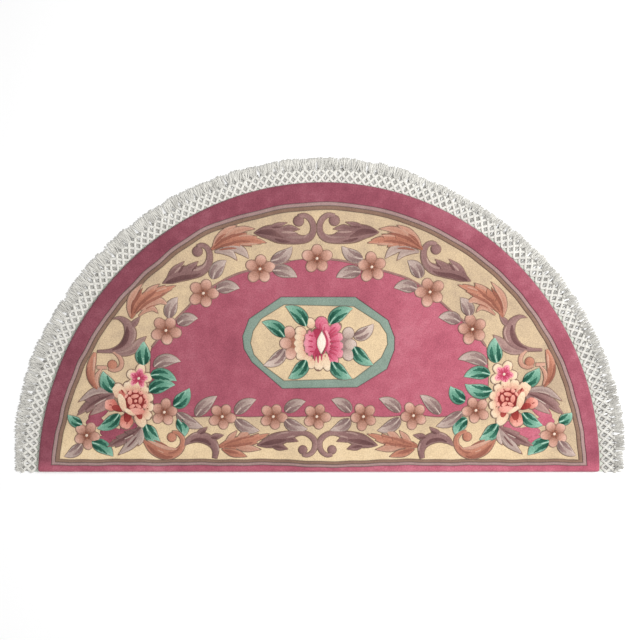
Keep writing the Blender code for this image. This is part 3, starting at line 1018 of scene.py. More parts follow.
@dataclass
class Leaves:
    """The small leaves round the flowers."""

    # Share of the length, and full width there as a share of the leaf's width
    profile: Sequence[Place] = (
        (0.0, 0.2), (0.1, 0.7), (0.3, 1.02), (0.55, 0.96), (0.8, 0.56), (1.0, 0.0),
    )
    teeth: int = 4
    # Base across and up, tip across and up, width, bend to the left
    green_left: Sequence[tuple] = (
        (-174.8, 107, -174.8, 131, 14.8, 0.05), (-203.8, 80, -215.6, 101, 14.3, 0.12),
        (-168, 96.5, -142, 91, 12.8, 0.12), (-169.6, 80.5, -143.4, 87, 13.8, 0.12),
        (-145, 66, -129.3, 84, 13.8, -0.1), (-141, 53, -134, 35.5, 12.3, 0.12),
        (-173, 47.5, -158, 29.8, 13.8, -0.12), (-199.6, 58, -222, 43.5, 12.8, 0.12),
        (-227, 29.5, -205.5, 15.5, 13.3, 0.1), (-236.6, 47.6, -251, 57.4, 10.3, 0.1),
    )
    green_right: Sequence[tuple] = (
        (178.2, 109.4, 176.3, 135, 14.8, 0.06), (204.2, 88, 220.4, 104.4, 14.3, -0.12),
        (171.2, 97.4, 144.8, 95, 12.8, -0.12), (173.2, 81.5, 146, 88, 14.3, 0.14),
        (146.2, 71, 131.6, 86, 13.8, 0.12), (148.2, 53, 135.8, 37, 12.8, -0.12),
        (178.8, 48, 160.2, 32.5, 13.8, 0.12), (203.8, 59, 224, 46.8, 12.8, -0.12),
        (230.2, 30.4, 209, 16.6, 13.3, -0.1), (240.2, 50, 253.2, 59.5, 11.3, -0.1),
    )
    green_medallion: Sequence[tuple] = (
        (-12.8, 146, -33.8, 166, 13.3, -0.12), (-34.3, 135, -57.2, 150, 12.8, -0.12),
        (11.2, 148.4, 34.2, 163.5, 13.3, 0.12), (-12.8, 112, -30.8, 93.5, 13.3, 0.12),
        (13.2, 110.5, 33.2, 93.5, 13.3, -0.12), (35.2, 125.4, 54.8, 107, 12.8, -0.12),
    )
    grey_medallion: Sequence[tuple] = (
        (-34.3, 123, -55.8, 106.5, 12, 0.14), (35.2, 135, 54.8, 148.4, 12, -0.12),
    )
    grey_left: Sequence[tuple] = (
        (-48, 211, -26.5, 225.5, 12.5, -0.12), (-46, 201.5, -21.5, 194.6, 12.5, 0.1),
        (-106, 193, -92, 211.5, 13, 0.12), (-102, 182, -79, 183.5, 12.5, 0.12),
        (-149.8, 154, -140.8, 175, 12.5, 0.1), (-141, 148, -120.8, 153.5, 12.5, 0.12),
        (-122.8, 56, -101.5, 76, 12, 0.06), (-83, 58, -62.5, 72.5, 11.5, 0.1),
        (-83, 52.4, -59, 41.5, 11.5, -0.12), (-33.2, 60, -13, 70.5, 11.5, 0.1),
        (-33.8, 52.4, -11, 43, 11.5, -0.12), (-141.5, 59, -115.5, 44.5, 11.5, -0.08),
        (-164.5, 105.3, -138, 110.4, 12.4, 0.16), (-237.2, 28, -254.5, 15.5, 10.5, 0.1),
    )
    grey_right: Sequence[tuple] = (
        (44, 213, 23, 226, 12.5, 0.12), (42, 200, 17.3, 194.4, 12.5, -0.1),
        (101.5, 194, 88.5, 211.5, 13, -0.12), (98, 183, 75, 184, 12.5, -0.12),
        (151, 156, 141.2, 174.5, 12.5, -0.1), (141.2, 150, 119.5, 154.5, 12.5, -0.12),
        (121, 58, 101, 77, 12, -0.06), (81, 60, 60, 73.5, 11.5, -0.1),
        (81, 54, 58, 41.5, 11.5, 0.12), (32, 60, 12.5, 72.5, 11.5, -0.1),
        (31, 53, 11, 41.8, 11.5, 0.12), (143, 60, 117, 45.5, 11.5, 0.08),
        (167.7, 107.6, 139.1, 112.5, 12.4, -0.16), (240.2, 31.5, 257.2, 16.5, 11.5, -0.1),
    )

    def draw(self, piece: Pile, leaf: Leaf, wools: LeafWools) -> None:
        """Add one leaf: outline, body, dark patches at its base, veins and midrib.

        Args:
            piece: The piece that it belongs to.
            leaf: The leaf.
            wools: Its wools.
        """
        knots = [leaf.knot(along, 0, wide * leaf.width) for along, wide in self.profile]
        shade = -1 if leaf.bend > 0 else 1
        piece.ribbon(knots, Dye.LINE, 1.3, extra=0.8)
        piece.ribbon(knots, wools.body, 2.3, (-0.7, 0.9), 0.25 * shade, rib=0.5)
        for aside, far in ((0.46 * shade, 0.84), (-0.44 * shade, 0.7)):
            piece.ribbon([leaf.knot(0.03, 0.4 * aside, 1.2),
                          leaf.knot(0.17, 0.9 * aside, 0.4 * leaf.width),
                          leaf.knot(0.42, aside, 0.4 * leaf.width),
                          leaf.knot(far, 0.8 * aside, 0.0)],
                         wools.dark, 2.5, (-0.4, 1.0), teeth=self.teeth)
        for i in range(wools.veins):
            start = 0.12 + 0.13 * i
            for aside in (0.7, -0.7):
                piece.ribbon([leaf.knot(start, 0.1 * aside, wools.vein),
                              leaf.knot(start + 0.13, 0.6 * aside, 0.9 * wools.vein),
                              leaf.knot(start + 0.24, 1.1 * aside, 0.1)], wools.pale, 2.8,
                             (-0.8, -0.1))
        piece.ribbon([leaf.knot(along, 0, wide) for along, wide in ((0, 1.4), (0.3, 1.3), (0.78, 0.2))],
                     wools.pale, 2.85, (0.1, 0.6))

    def build(self) -> list[bpy.types.Object]:
        """Make the leaves.

        Returns:
            One piece for each group.
        """
        made = []
        for name, rows, wools in (
                ("green_leaves_left", self.green_left, GREEN),
                ("green_leaves_right", self.green_right, GREEN),
                ("green_leaves_medallion", self.green_medallion, GREEN),
                ("grey_leaves_medallion", self.grey_medallion, PALE_GREY),
                ("grey_leaves_left", self.grey_left, GREY),
                ("grey_leaves_right", self.grey_right, GREY)):
            piece = Pile(name)
            for row in rows:
                self.draw(piece, Leaf(*row), wools)
            made.append(piece.make())
        return made


class Side(enum.Enum):
    """The two halves of the design, with the sign of their across direction."""

    LEFT = 1
    RIGHT = -1


@dataclass(frozen=True)
class Stroke:
    """One stroke of a scroll or acanthus."""

    dye: Dye
    rise: float
    tone: Place
    knots: Sequence[Knot]
    teeth: int = 0


@dataclass(frozen=True)
class Motif:
    """A scroll or acanthus, drawn for the left half."""

    name: str
    # How far the right one lies from the mirrored place
    nudge: Place
    strokes: Sequence[Stroke]
    # Across, up and radius of the round end of its curl
    curl: Knot | None = None
    curl_dye: Dye = Dye.PLUM
    # Ground behind it: across, up, reach along and across its axis, turn in degrees
    ground: Sequence[tuple[float, float, float, float, float]] = ()


MOTIFS = (
    Motif("plum_scroll_crown", (-3, 0.5), (
        Stroke(Dye.PLUM, 2.1, (-0.2, 0.6), ((-52, 243, 0.6), (-42, 246.4, 5.5), (-31, 249.6, 0))),
        Stroke(Dye.PLUM, 2.2, (-0.3, 0.4), ((-42, 241, 0.6), (-30, 243.6, 7), (-18.4, 242.4, 0))),
        Stroke(Dye.PLUM, 2.3, (-0.3, 0.4), ((-65, 239, 0.3), (-58, 239.5, 9), (-49, 239.6, 15),
            (-39, 237.6, 18), (-29, 234.8, 14.5), (-20, 232.6, 9.5), (-12, 233.2, 7.4),
            (-6.8, 237.5, 6.4), (-5.3, 245, 6), (-8.2, 252.5, 5.6), (-14, 256.4, 5),
            (-20.5, 255.4, 4.6))),
        Stroke(Dye.PLUM_DARK, 2.6, (-0.3, 0.5), ((-64, 239, 0.3), (-56, 240, 6.5), (-47, 239.4, 8.5),
            (-40, 236.4, 5), (-33, 233.6, 0))),
        Stroke(Dye.PLUM_DARK, 2.7, (0.0, 0.5), ((-50, 244, 0.3), (-42, 244.6, 2.2), (-33.5, 245.6, 0))),
        Stroke(Dye.PLUM_DARK, 2.7, (-0.2, 0.4), ((-46, 234, 0.3), (-37, 231.2, 3.4), (-25, 229.6, 0))),
        Stroke(Dye.PLUM_PALE, 2.7, (-0.1, 0.4), ((-40, 240, 0.3), (-31, 239.6, 3), (-21, 239.4, 0))),
        Stroke(Dye.PLUM_PALE, 2.7, (-0.8, 0.0), ((-36, 234.6, 0.3), (-26, 234.4, 3), (-15, 234.8, 2.4),
            (-8.5, 240, 0))),
    ), (-20.2, 251.0, 5.4)),
    Motif("rust_acanthus_crown", (-2, 0), (
        Stroke(Dye.MAUVE_PALE, 2.0, (-0.8, 0.1), ((-104, 220, 2), (-96, 221, 6.5), (-88, 218.8, 7),
            (-81.3, 211, 0))),
        Stroke(Dye.MAUVE_PALE, 2.0, (-0.9, 0.2), ((-96, 224, 2), (-84, 224, 8), (-76, 220.5, 8),
            (-69.6, 213, 0))),
        Stroke(Dye.RUST_PALE, 2.1, (-0.5, 0.2), ((-106, 224, 1.6), (-101, 233, 6), (-92, 241.5, 6.5),
            (-81, 247.2, 0))),
        Stroke(Dye.RUST_PALE, 2.1, (-0.6, 0.2), ((-98, 229, 1), (-86, 239, 8), (-75, 243, 6),
            (-63, 243, 0))),
        Stroke(Dye.RUST, 2.3, (-0.3, 0.5), ((-107.5, 222.5, 3.5), (-98, 228.6, 12), (-86, 231.6, 17),
            (-74, 232, 14.5), (-63, 231.4, 8.5), (-51.8, 229, 0)), 5),
        Stroke(Dye.RUST_DARK, 2.7, (-0.1, 0.7), ((-105, 226, 0.6), (-99, 234, 3), (-90, 240, 0))),
        Stroke(Dye.RUST_DARK, 2.7, (-0.3, 0.6), ((-106, 223.6, 1), (-96, 231.5, 4.4), (-84, 236.6, 4),
            (-71, 239.6, 0)), 3),
        Stroke(Dye.RUST_DARK, 2.75, (-0.2, 0.6), ((-105, 222.6, 1), (-92, 227.5, 3.6),
            (-78, 230.6, 3.4), (-63, 230.4, 0)), 3),
        Stroke(Dye.RUST_DARK, 2.7, (0.0, 0.7), ((-102, 221.4, 0.6), (-90, 223.6, 2.6),
            (-78, 223.4, 0))),
        Stroke(Dye.RUST_PALE, 2.8, (-0.2, 0.3), ((-84, 234.6, 0.3), (-74, 236.4, 2.2), (-62, 236, 0))),
        Stroke(Dye.RUST_PALE, 2.8, (-0.2, 0.3), ((-82, 227.4, 0.3), (-70, 228, 2.4), (-57, 228.2, 0))),
    )),
    Motif("plum_scroll_shoulder", (-2.6, 2.2), (
        Stroke(Dye.PLUM, 2.1, (-0.1, 0.6), ((-152, 194, 0.6), (-144, 202, 7), (-134, 211, 0))),
        Stroke(Dye.PLUM, 2.2, (-0.2, 0.6), ((-138, 198, 0.6), (-129.5, 203.5, 7.5), (-120.2, 211, 0))),
        Stroke(Dye.PLUM, 2.3, (-0.2, 0.4), ((-156.4, 188.6, 0.3), (-148, 192.6, 9.5),
            (-139, 197.4, 14.5), (-129, 199.4, 14), (-119.5, 200.6, 11), (-112.6, 205, 8.4),
            (-109.4, 212, 6.8), (-109.4, 219.4, 5.8), (-112.8, 225.2, 5), (-118, 226.8, 4.6),
            (-121.6, 225, 4))),
        Stroke(Dye.PLUM_DARK, 2.6, (-0.3, 0.5), ((-155, 188.6, 0.3), (-146, 191.8, 5.4),
            (-136, 194.6, 6), (-124, 196.4, 4), (-115, 200.4, 0))),
        Stroke(Dye.PLUM_DARK, 2.7, (0.0, 0.5), ((-142, 197.6, 0.3), (-137.6, 202, 3),
            (-134.4, 207.6, 0))),
        Stroke(Dye.PLUM_DARK, 2.7, (0.0, 0.5), ((-129, 199, 0.3), (-124.4, 203, 2.8),
            (-121.4, 208, 0))),
        Stroke(Dye.PLUM_PALE, 2.7, (0.0, 0.5), ((-146, 197, 0.3), (-140.6, 202.6, 2.6),
            (-137, 206, 0))),
        Stroke(Dye.PLUM_PALE, 2.7, (0.0, 0.5), ((-131, 201.6, 0.3), (-121, 202.4, 3), (-114, 207, 2.6),
            (-111.4, 215, 0))),
    ), (-121.3, 220.6, 5.2)),
    Motif("rust_acanthus_shoulder", (-2, 1), (
        Stroke(Dye.RUST_PALE, 2.0, (-0.5, 0.1), ((-180, 156, 1.4), (-173, 161.6, 4.6),
            (-166, 163.6, 5.4), (-160.3, 158.2, 0))),
        Stroke(Dye.RUST_PALE, 2.1, (-0.5, 0.2), ((-178, 162, 1.4), (-168, 168.6, 6.6), (-159, 171.4, 7),
            (-150, 166.4, 0))),
        Stroke(Dye.RUST_PALE, 2.1, (-0.4, 0.2), ((-188, 155, 2), (-189.6, 165, 5), (-185.6, 177, 7),
            (-175.4, 189.6, 0))),
        Stroke(Dye.RUST_PALE, 2.1, (-0.5, 0.1), ((-176, 173, 1), (-169, 181, 7), (-158.5, 188.4, 0))),
        Stroke(Dye.RUST, 2.3, (-0.4, 0.6), ((-187.5, 153.5, 3), (-184, 163, 11), (-177.6, 171, 15),
            (-169, 176.8, 14.5), (-159.6, 180.6, 11), (-151, 183.4, 6.6), (-142.4, 186.4, 0)), 5),
        Stroke(Dye.RUST_DARK, 2.6, (-0.4, 0.3), ((-187.6, 157, 1), (-185.6, 167, 4.6), (-180.6, 176, 5),
            (-175.8, 184.6, 0)), 2),
        Stroke(Dye.RUST_DARK, 2.7, (-0.4, 0.5), ((-185, 158, 1), (-177.6, 168.6, 4.6),
            (-168, 176.6, 4.4), (-159.6, 184, 0)), 3),
        Stroke(Dye.RUST_DARK, 2.7, (0.0, 0.7), ((-182, 158.6, 0.6), (-172, 168.6, 3),
            (-160, 174.8, 2.6), (-149, 181, 0))),
        Stroke(Dye.RUST_DARK, 2.6, (0.2, 0.7), ((-176, 160.6, 0.3), (-168.4, 165.4, 1.8),
            (-160, 167.6, 0))),
        Stroke(Dye.RUST_PALE, 2.8, (-0.2, 0.3), ((-166, 178.6, 0.3), (-157, 182.6, 2.4),
            (-148, 184.6, 0))),
    )),
    Motif("plum_leaf_flank", (3.5, 1.5), (
        Stroke(Dye.PLUM, 2.1, (-0.3, 0.6), ((-190, 143, 0.6), (-184.4, 148.6, 6.4), (-178.3, 156, 0))),
        Stroke(Dye.PLUM_PALE, 2.2, (-0.4, 0.1), ((-206, 119.4, 1), (-195, 118.6, 6), (-186, 122.4, 8.5),
            (-179.4, 129.4, 7.6), (-171.8, 136, 0))),
        Stroke(Dye.PLUM, 2.3, (0.3, 0.0), ((-207, 152.6, 0), (-200, 154, 3.6), (-193.4, 150.4, 7),
            (-189.4, 144, 10.5), (-188.4, 137, 12.5), (-191.6, 129.4, 12), (-199, 123.6, 8),
            (-209, 121, 4.2), (-221.4, 120.6, 2.6))),
        Stroke(Dye.PLUM_DARK, 2.6, (0.1, -0.1), ((-192, 148, 0.3), (-191, 139, 5.4), (-194, 130, 6.4),
            (-201, 124, 3.6), (-211, 121, 0))),
        Stroke(Dye.PLUM_PALE, 2.7, (0.0, 0.1), ((-187.6, 146, 0.3), (-184, 140, 3), (-185.4, 132, 2.6),
            (-190, 126, 0)), 3),
        Stroke(Dye.PLUM, 2.5, (0.0, 0.3), ((-194, 117, 0.3), (-184.6, 121.4, 2.4), (-177.6, 129, 0))),
    )),
    Motif("rust_scroll_flank", (6, 3), (
        Stroke(Dye.RUST_PALE, 2.0, (0.2, 0.0), ((-222, 104.6, 3.6), (-212, 104.4, 3.4))),
        Stroke(Dye.RUST_PALE, 2.2, (0.0, -0.3), ((-206, 120.6, 2.6), (-200.6, 116.6, 3.8),
            (-197.2, 110.5, 4.6), (-198.6, 104.2, 4.6), (-204.6, 101.8, 4.2), (-210, 103.6, 3.4))),
        Stroke(Dye.RUST_PALE, 2.1, (0.2, -0.2), ((-216.6, 103.6, 1), (-221, 98, 4), (-222.4, 91, 4),
            (-218.8, 82, 0))),
        Stroke(Dye.RUST, 2.3, (0.6, -0.5), ((-223.6, 119.6, 3), (-226, 112, 7.4), (-228, 103, 9),
            (-227.4, 94, 7.6), (-224, 86.6, 5), (-219.8, 80.6, 0))),
        Stroke(Dye.RUST_DARK, 2.7, (0.5, -0.2), ((-230.6, 108, 0.3), (-231, 99, 2.8), (-228.4, 90.6, 3),
            (-222.6, 83, 0))),
        Stroke(Dye.RUST_PALE, 2.7, (0.3, 0.0), ((-224, 118, 0.3), (-224.6, 111, 2.6), (-225, 104, 2.2),
            (-225.4, 97, 0))),
    ), (-206.4, 107.2, 4.9), Dye.RUST),
    Motif("rust_curl_foot", (3, 0.5), (
        Stroke(Dye.RUST, 2.3, (0.3, -0.1), ((-146.5, 39.8, 3.2), (-140.6, 38.6, 4), (-136.2, 33, 4.8),
            (-136.6, 26, 6), (-141.6, 20, 8), (-149.6, 17.4, 10), (-158.4, 19.6, 12),
            (-167.4, 24.6, 9.6), (-176.4, 32.6, 0))),
        Stroke(Dye.RUST_DARK, 2.6, (0.2, -0.1), ((-143, 16, 0.3), (-153, 15, 4.4), (-164, 20, 5),
            (-174.4, 30.4, 0))),
        Stroke(Dye.RUST_PALE, 2.7, (-0.2, 0.2), ((-139, 23, 0.3), (-150, 23.6, 3.6), (-162, 27.8, 4),
            (-173, 32.6, 0))),
        Stroke(Dye.RUST_PALE, 2.7, (-0.4, 0.0), ((-150, 18.6, 0.3), (-158, 20.6, 1.6),
            (-168, 26.6, 0))),
        Stroke(Dye.RUST_DARK, 2.8, (0.2, 0.5), ((-137.6, 31, 0.3), (-139.4, 24, 1.6), (-146, 19.4, 2.2),
            (-156, 19.6, 0))),
        Stroke(Dye.RUST_DARK, 2.8, (0.2, 0.6), ((-151, 26, 0.3), (-160, 30, 2), (-170, 33.4, 0))),
    ), (-147, 34.8, 4.7), Dye.RUST),
    Motif("plum_leaf_foot", (1, 0), (
        Stroke(Dye.PLUM, 2.1, (-0.3, 0.5), ((-124, 36, 0.6), (-118, 39.4, 6.6), (-111, 45.4, 0))),
        Stroke(Dye.PLUM, 2.1, (-0.3, 0.5), ((-111, 33, 0.6), (-103, 35.4, 6.6), (-94.6, 37, 0))),
        Stroke(Dye.PLUM, 2.3, (0.2, 0.0), ((-135.8, 25.4, 0), (-130, 31.4, 7), (-121.4, 34.8, 10.5),
            (-112.4, 33.2, 11), (-105.6, 28.2, 9.4), (-103, 21, 6.6), (-104.2, 13.6, 4.8))),
        Stroke(Dye.PLUM_DARK, 2.6, (0.0, 0.2), ((-131, 29, 0.3), (-122, 32.6, 4), (-112, 31, 4.6),
            (-106, 24.6, 0))),
        Stroke(Dye.PLUM_DARK, 2.7, (0.0, 0.4), ((-121, 37, 0.3), (-115.4, 39.6, 2.6),
            (-112.4, 42.4, 0))),
        Stroke(Dye.PLUM_DARK, 2.7, (0.0, 0.4), ((-110, 34.6, 0.3), (-103.6, 34, 2.8), (-99, 35, 0))),
        Stroke(Dye.PLUM_PALE, 2.7, (0.0, 0.3), ((-131, 33.6, 0.3), (-125, 38, 2), (-118, 39.4, 0))),
        Stroke(Dye.PLUM_PALE, 2.7, (0.0, 0.2), ((-104, 31, 0.3), (-100.6, 25, 2.2), (-101, 18, 0))),
    )),
    Motif("rust_acanthus_foot", (0.5, 0), (
        Stroke(Dye.RUST_PALE, 2.0, (-0.5, 0.1), ((-94, 29, 0.6), (-87.6, 34.6, 6.6), (-81.4, 42, 0))),
        Stroke(Dye.RUST_PALE, 2.0, (-0.5, 0.1), ((-84, 31, 0.6), (-75.6, 36.6, 7.6), (-67.4, 43, 0))),
        Stroke(Dye.RUST, 2.1, (-0.3, 0.4), ((-97, 23, 1), (-88, 19.6, 7.4), (-80, 18, 7),
            (-71.2, 15.2, 0))),
        Stroke(Dye.RUST_PALE, 2.1, (-0.6, 0.1), ((-84, 24.6, 1), (-72, 24, 8), (-57, 22.4, 0))),
        Stroke(Dye.RUST, 2.3, (-0.3, 0.5), ((-99.8, 25.6, 4), (-91, 27.6, 12), (-80, 29.4, 14.5),
            (-69, 31.6, 12.5), (-60, 34.6, 7.6), (-49, 38.4, 0)), 5),
        Stroke(Dye.RUST_DARK, 2.7, (0.2, 0.6), ((-97, 26.6, 0.6), (-85, 31, 3.4), (-72, 34.6, 2.6),
            (-58, 36.4, 0)), 3),
        Stroke(Dye.RUST_DARK, 2.7, (0.0, 0.5), ((-97, 25, 0.6), (-85, 26.4, 4), (-72, 28.4, 3.4),
            (-62, 31, 0)), 3),
        Stroke(Dye.RUST_DARK, 2.6, (0.0, 0.4), ((-96, 22.6, 0.6), (-87, 20.4, 3.4), (-77, 18.4, 0))),
    )),
    Motif("plum_scroll_foot", (-1.2, 0), (
        Stroke(Dye.PLUM, 2.1, (-0.5, 0.3), ((-50, 27, 0.6), (-40, 25.4, 7.6), (-30.4, 22.8, 0))),
        Stroke(Dye.PLUM, 2.2, (-0.6, 0.2), ((-42, 31.6, 0.6), (-31, 33.6, 8), (-20.2, 30.4, 0))),
        Stroke(Dye.PLUM, 2.3, (-0.2, 0.5), ((-62.2, 26.6, 0), (-54, 28.6, 9), (-45, 31.4, 14),
            (-35, 34.8, 12), (-26, 37.8, 7.6), (-17, 39.2, 5), (-9.6, 37, 5.2), (-4.2, 31.4, 5.6),
            (-3.8, 25, 5.4), (-6.6, 19.6, 4.8), (-11.6, 16.8, 4.2), (-16.2, 17.8, 3.6))),
        Stroke(Dye.PLUM_DARK, 2.6, (-0.3, 0.4), ((-61, 26.6, 0.3), (-51, 29, 5.6), (-41, 31, 6.4),
            (-30, 32.6, 0))),
        Stroke(Dye.PLUM_DARK, 2.6, (-0.1, 0.4), ((-49, 26, 0.3), (-41, 25.4, 3), (-34, 24, 0))),
        Stroke(Dye.PLUM_PALE, 2.7, (-0.2, 0.3), ((-46, 35.4, 0.3), (-36, 39, 2.2), (-25, 39.4, 0))),
        Stroke(Dye.PLUM_PALE, 2.7, (-0.1, 0.4), ((-35, 33.6, 0.3), (-28, 35.4, 2.2), (-20, 36.6, 0))),
    ), (-16.0, 22.2, 4.5)),
    Motif("corner_acanthus", (4.5, 1), (
        Stroke(Dye.MAUVE, 2.1, (-0.2, 0.3), ((-203.5, 78.5, 2.4), (-214, 80.8, 7), (-226, 79.4, 8),
            (-241, 69.6, 0))),
        Stroke(Dye.PLUM_PALE, 2.2, (-0.4, 0.3), ((-203.5, 78.5, 2.4), (-210, 71.4, 9), (-218, 65, 10),
            (-229, 56.6, 0))),
        Stroke(Dye.PLUM, 2.3, (-0.1, 0.2), ((-203.5, 78.5, 2.4), (-213, 75, 13), (-226, 69.6, 16),
            (-242, 56.4, 0)), 4),
        Stroke(Dye.PLUM_DARK, 2.6, (-0.2, 0.4), ((-206, 77.6, 0.6), (-217, 73.4, 4), (-227.6, 67, 4),
            (-235.6, 59.6, 0)), 3),
        Stroke(Dye.PLUM_DARK, 2.6, (0.1, 0.6), ((-212, 79.6, 0.6), (-223, 77, 2), (-234, 71, 0))),
        Stroke(Dye.MAUVE_PALE, 2.9, (-0.4, 0.0), ((-207, 76, 0.5), (-219, 70, 1.7), (-231, 62, 0))),
        Stroke(Dye.MAUVE_PALE, 2.9, (-0.4, 0.0), ((-209, 79.6, 0.5), (-222, 78.4, 1.5),
            (-235, 73.4, 0))),
        Stroke(Dye.MAUVE_PALE, 2.1, (-0.5, 0.2), ((-177.6, 44.4, 2.4), (-176.8, 38, 5),
            (-177.6, 31.6, 5), (-181, 25.4, 0))),
        Stroke(Dye.MAUVE, 2.2, (-0.3, 0.5), ((-177.6, 44.4, 2.4), (-182.6, 34, 10), (-190, 26, 9),
            (-201, 16.6, 0))),
        Stroke(Dye.PLUM, 2.3, (-0.3, 0.3), ((-177.6, 44.4, 2.4), (-187, 38, 12), (-197.6, 31.6, 12),
            (-213, 24.6, 0)), 4),
        Stroke(Dye.PLUM_DARK, 2.6, (-0.2, 0.4), ((-181, 42, 0.6), (-190, 36, 4), (-199.6, 31, 4),
            (-208.6, 26.4, 0)), 3),
        Stroke(Dye.PLUM_DARK, 2.6, (0.1, 0.6), ((-180, 38, 0.6), (-187, 29, 2.4), (-195.4, 21.4, 0))),
        Stroke(Dye.MAUVE_PALE, 2.9, (-0.4, 0.0), ((-181, 40, 0.5), (-191, 34.4, 1.6), (-204, 29, 0))),
        Stroke(Dye.MAUVE_PALE, 2.9, (-0.4, 0.0), ((-178.6, 36, 0.5), (-183, 28.6, 1.5), (-189, 22, 0))),
    ), ground=(
        (-219, 61, 14, 6.5, 40), (-224, 50, 9, 5, 5), (-204, 38, 15, 6, -8),
        (-212, 31, 9, 4, -25), (-190, 45, 9, 5, 10),
    )),
)


@dataclass
class Scrolls:
    """The scrolling acanthus of the cream border, drawn for the left and mirrored."""

    mirror: float = -0.8
    outline: float = 0.8
    # A stroke up to this height has an outline, and a higher one lies on another
    outlined_rise: float = 2.4
    layer_rise: float = 0.02

    def draw(self, motif: Motif, side: Side) -> bpy.types.Object:
        """Make one motif.

        Args:
            motif: The motif.
            side: The half that it lies on.

        Returns:
            The piece.
        """
        piece = Pile(f"{motif.name}_{side.name.lower()}", flip=side.value)
        if side is Side.RIGHT:
            piece.middle = (2 * self.mirror + motif.nudge[0], motif.nudge[1])
        for row in motif.ground:
            piece.pad(*row, Dye.ROSE, 0.9, line=False)
        for layer, row in enumerate(motif.strokes):
            rise = row.rise + self.layer_rise * layer
            outlined = row.rise < self.outlined_rise
            if outlined:
                piece.ribbon(row.knots, Dye.LINE, rise - 0.5, teeth=row.teeth, extra=self.outline)
            piece.ribbon(row.knots, row.dye, rise, row.tone, 0.2, row.teeth,
                         rib=0.9 if outlined and row.knots[-1][2] < 1 else 0.3)
        if motif.curl:
            across, up, radius = motif.curl
            # Painted light: a curl is painted darker on its left and lighter on its right on both
            # halves, as if lit from the right
            piece.pad(across, up, radius, radius, 0 if side is Side.LEFT else 180, motif.curl_dye,
                      2.5, (-0.3, 0.3))
        return piece.make()

    def build(self) -> list[bpy.types.Object]:
        """Make every scroll on both halves, left ones first."""
        return [self.draw(motif, side) for side in Side for motif in MOTIFS]


@dataclass
class Vines:
    """The brown stem between the border and the rose field."""

    width: float = 2.2
    # Where the stem parts at the crown, and above which it shows
    parting: float = -1.9
    lowest: float = 120.0

    def build(self) -> list[bpy.types.Object]:
        """Make the stem along the field's edge.

        Returns:
            One piece for each half.
        """
        halves = {"vine_left": [], "vine_right": []}
        for across, up in sorted(FIELD_EDGE):
            if up > self.lowest:
                half = "vine_left" if across < self.parting else "vine_right"
                halves[half].append((across, up, self.width))
        made = []
        for name, knots in halves.items():
            piece = Pile(name)
            piece.ribbon(knots, Dye.VINE, 1.6, (0.2, 0.2))
            made.append(piece.make())
        return made


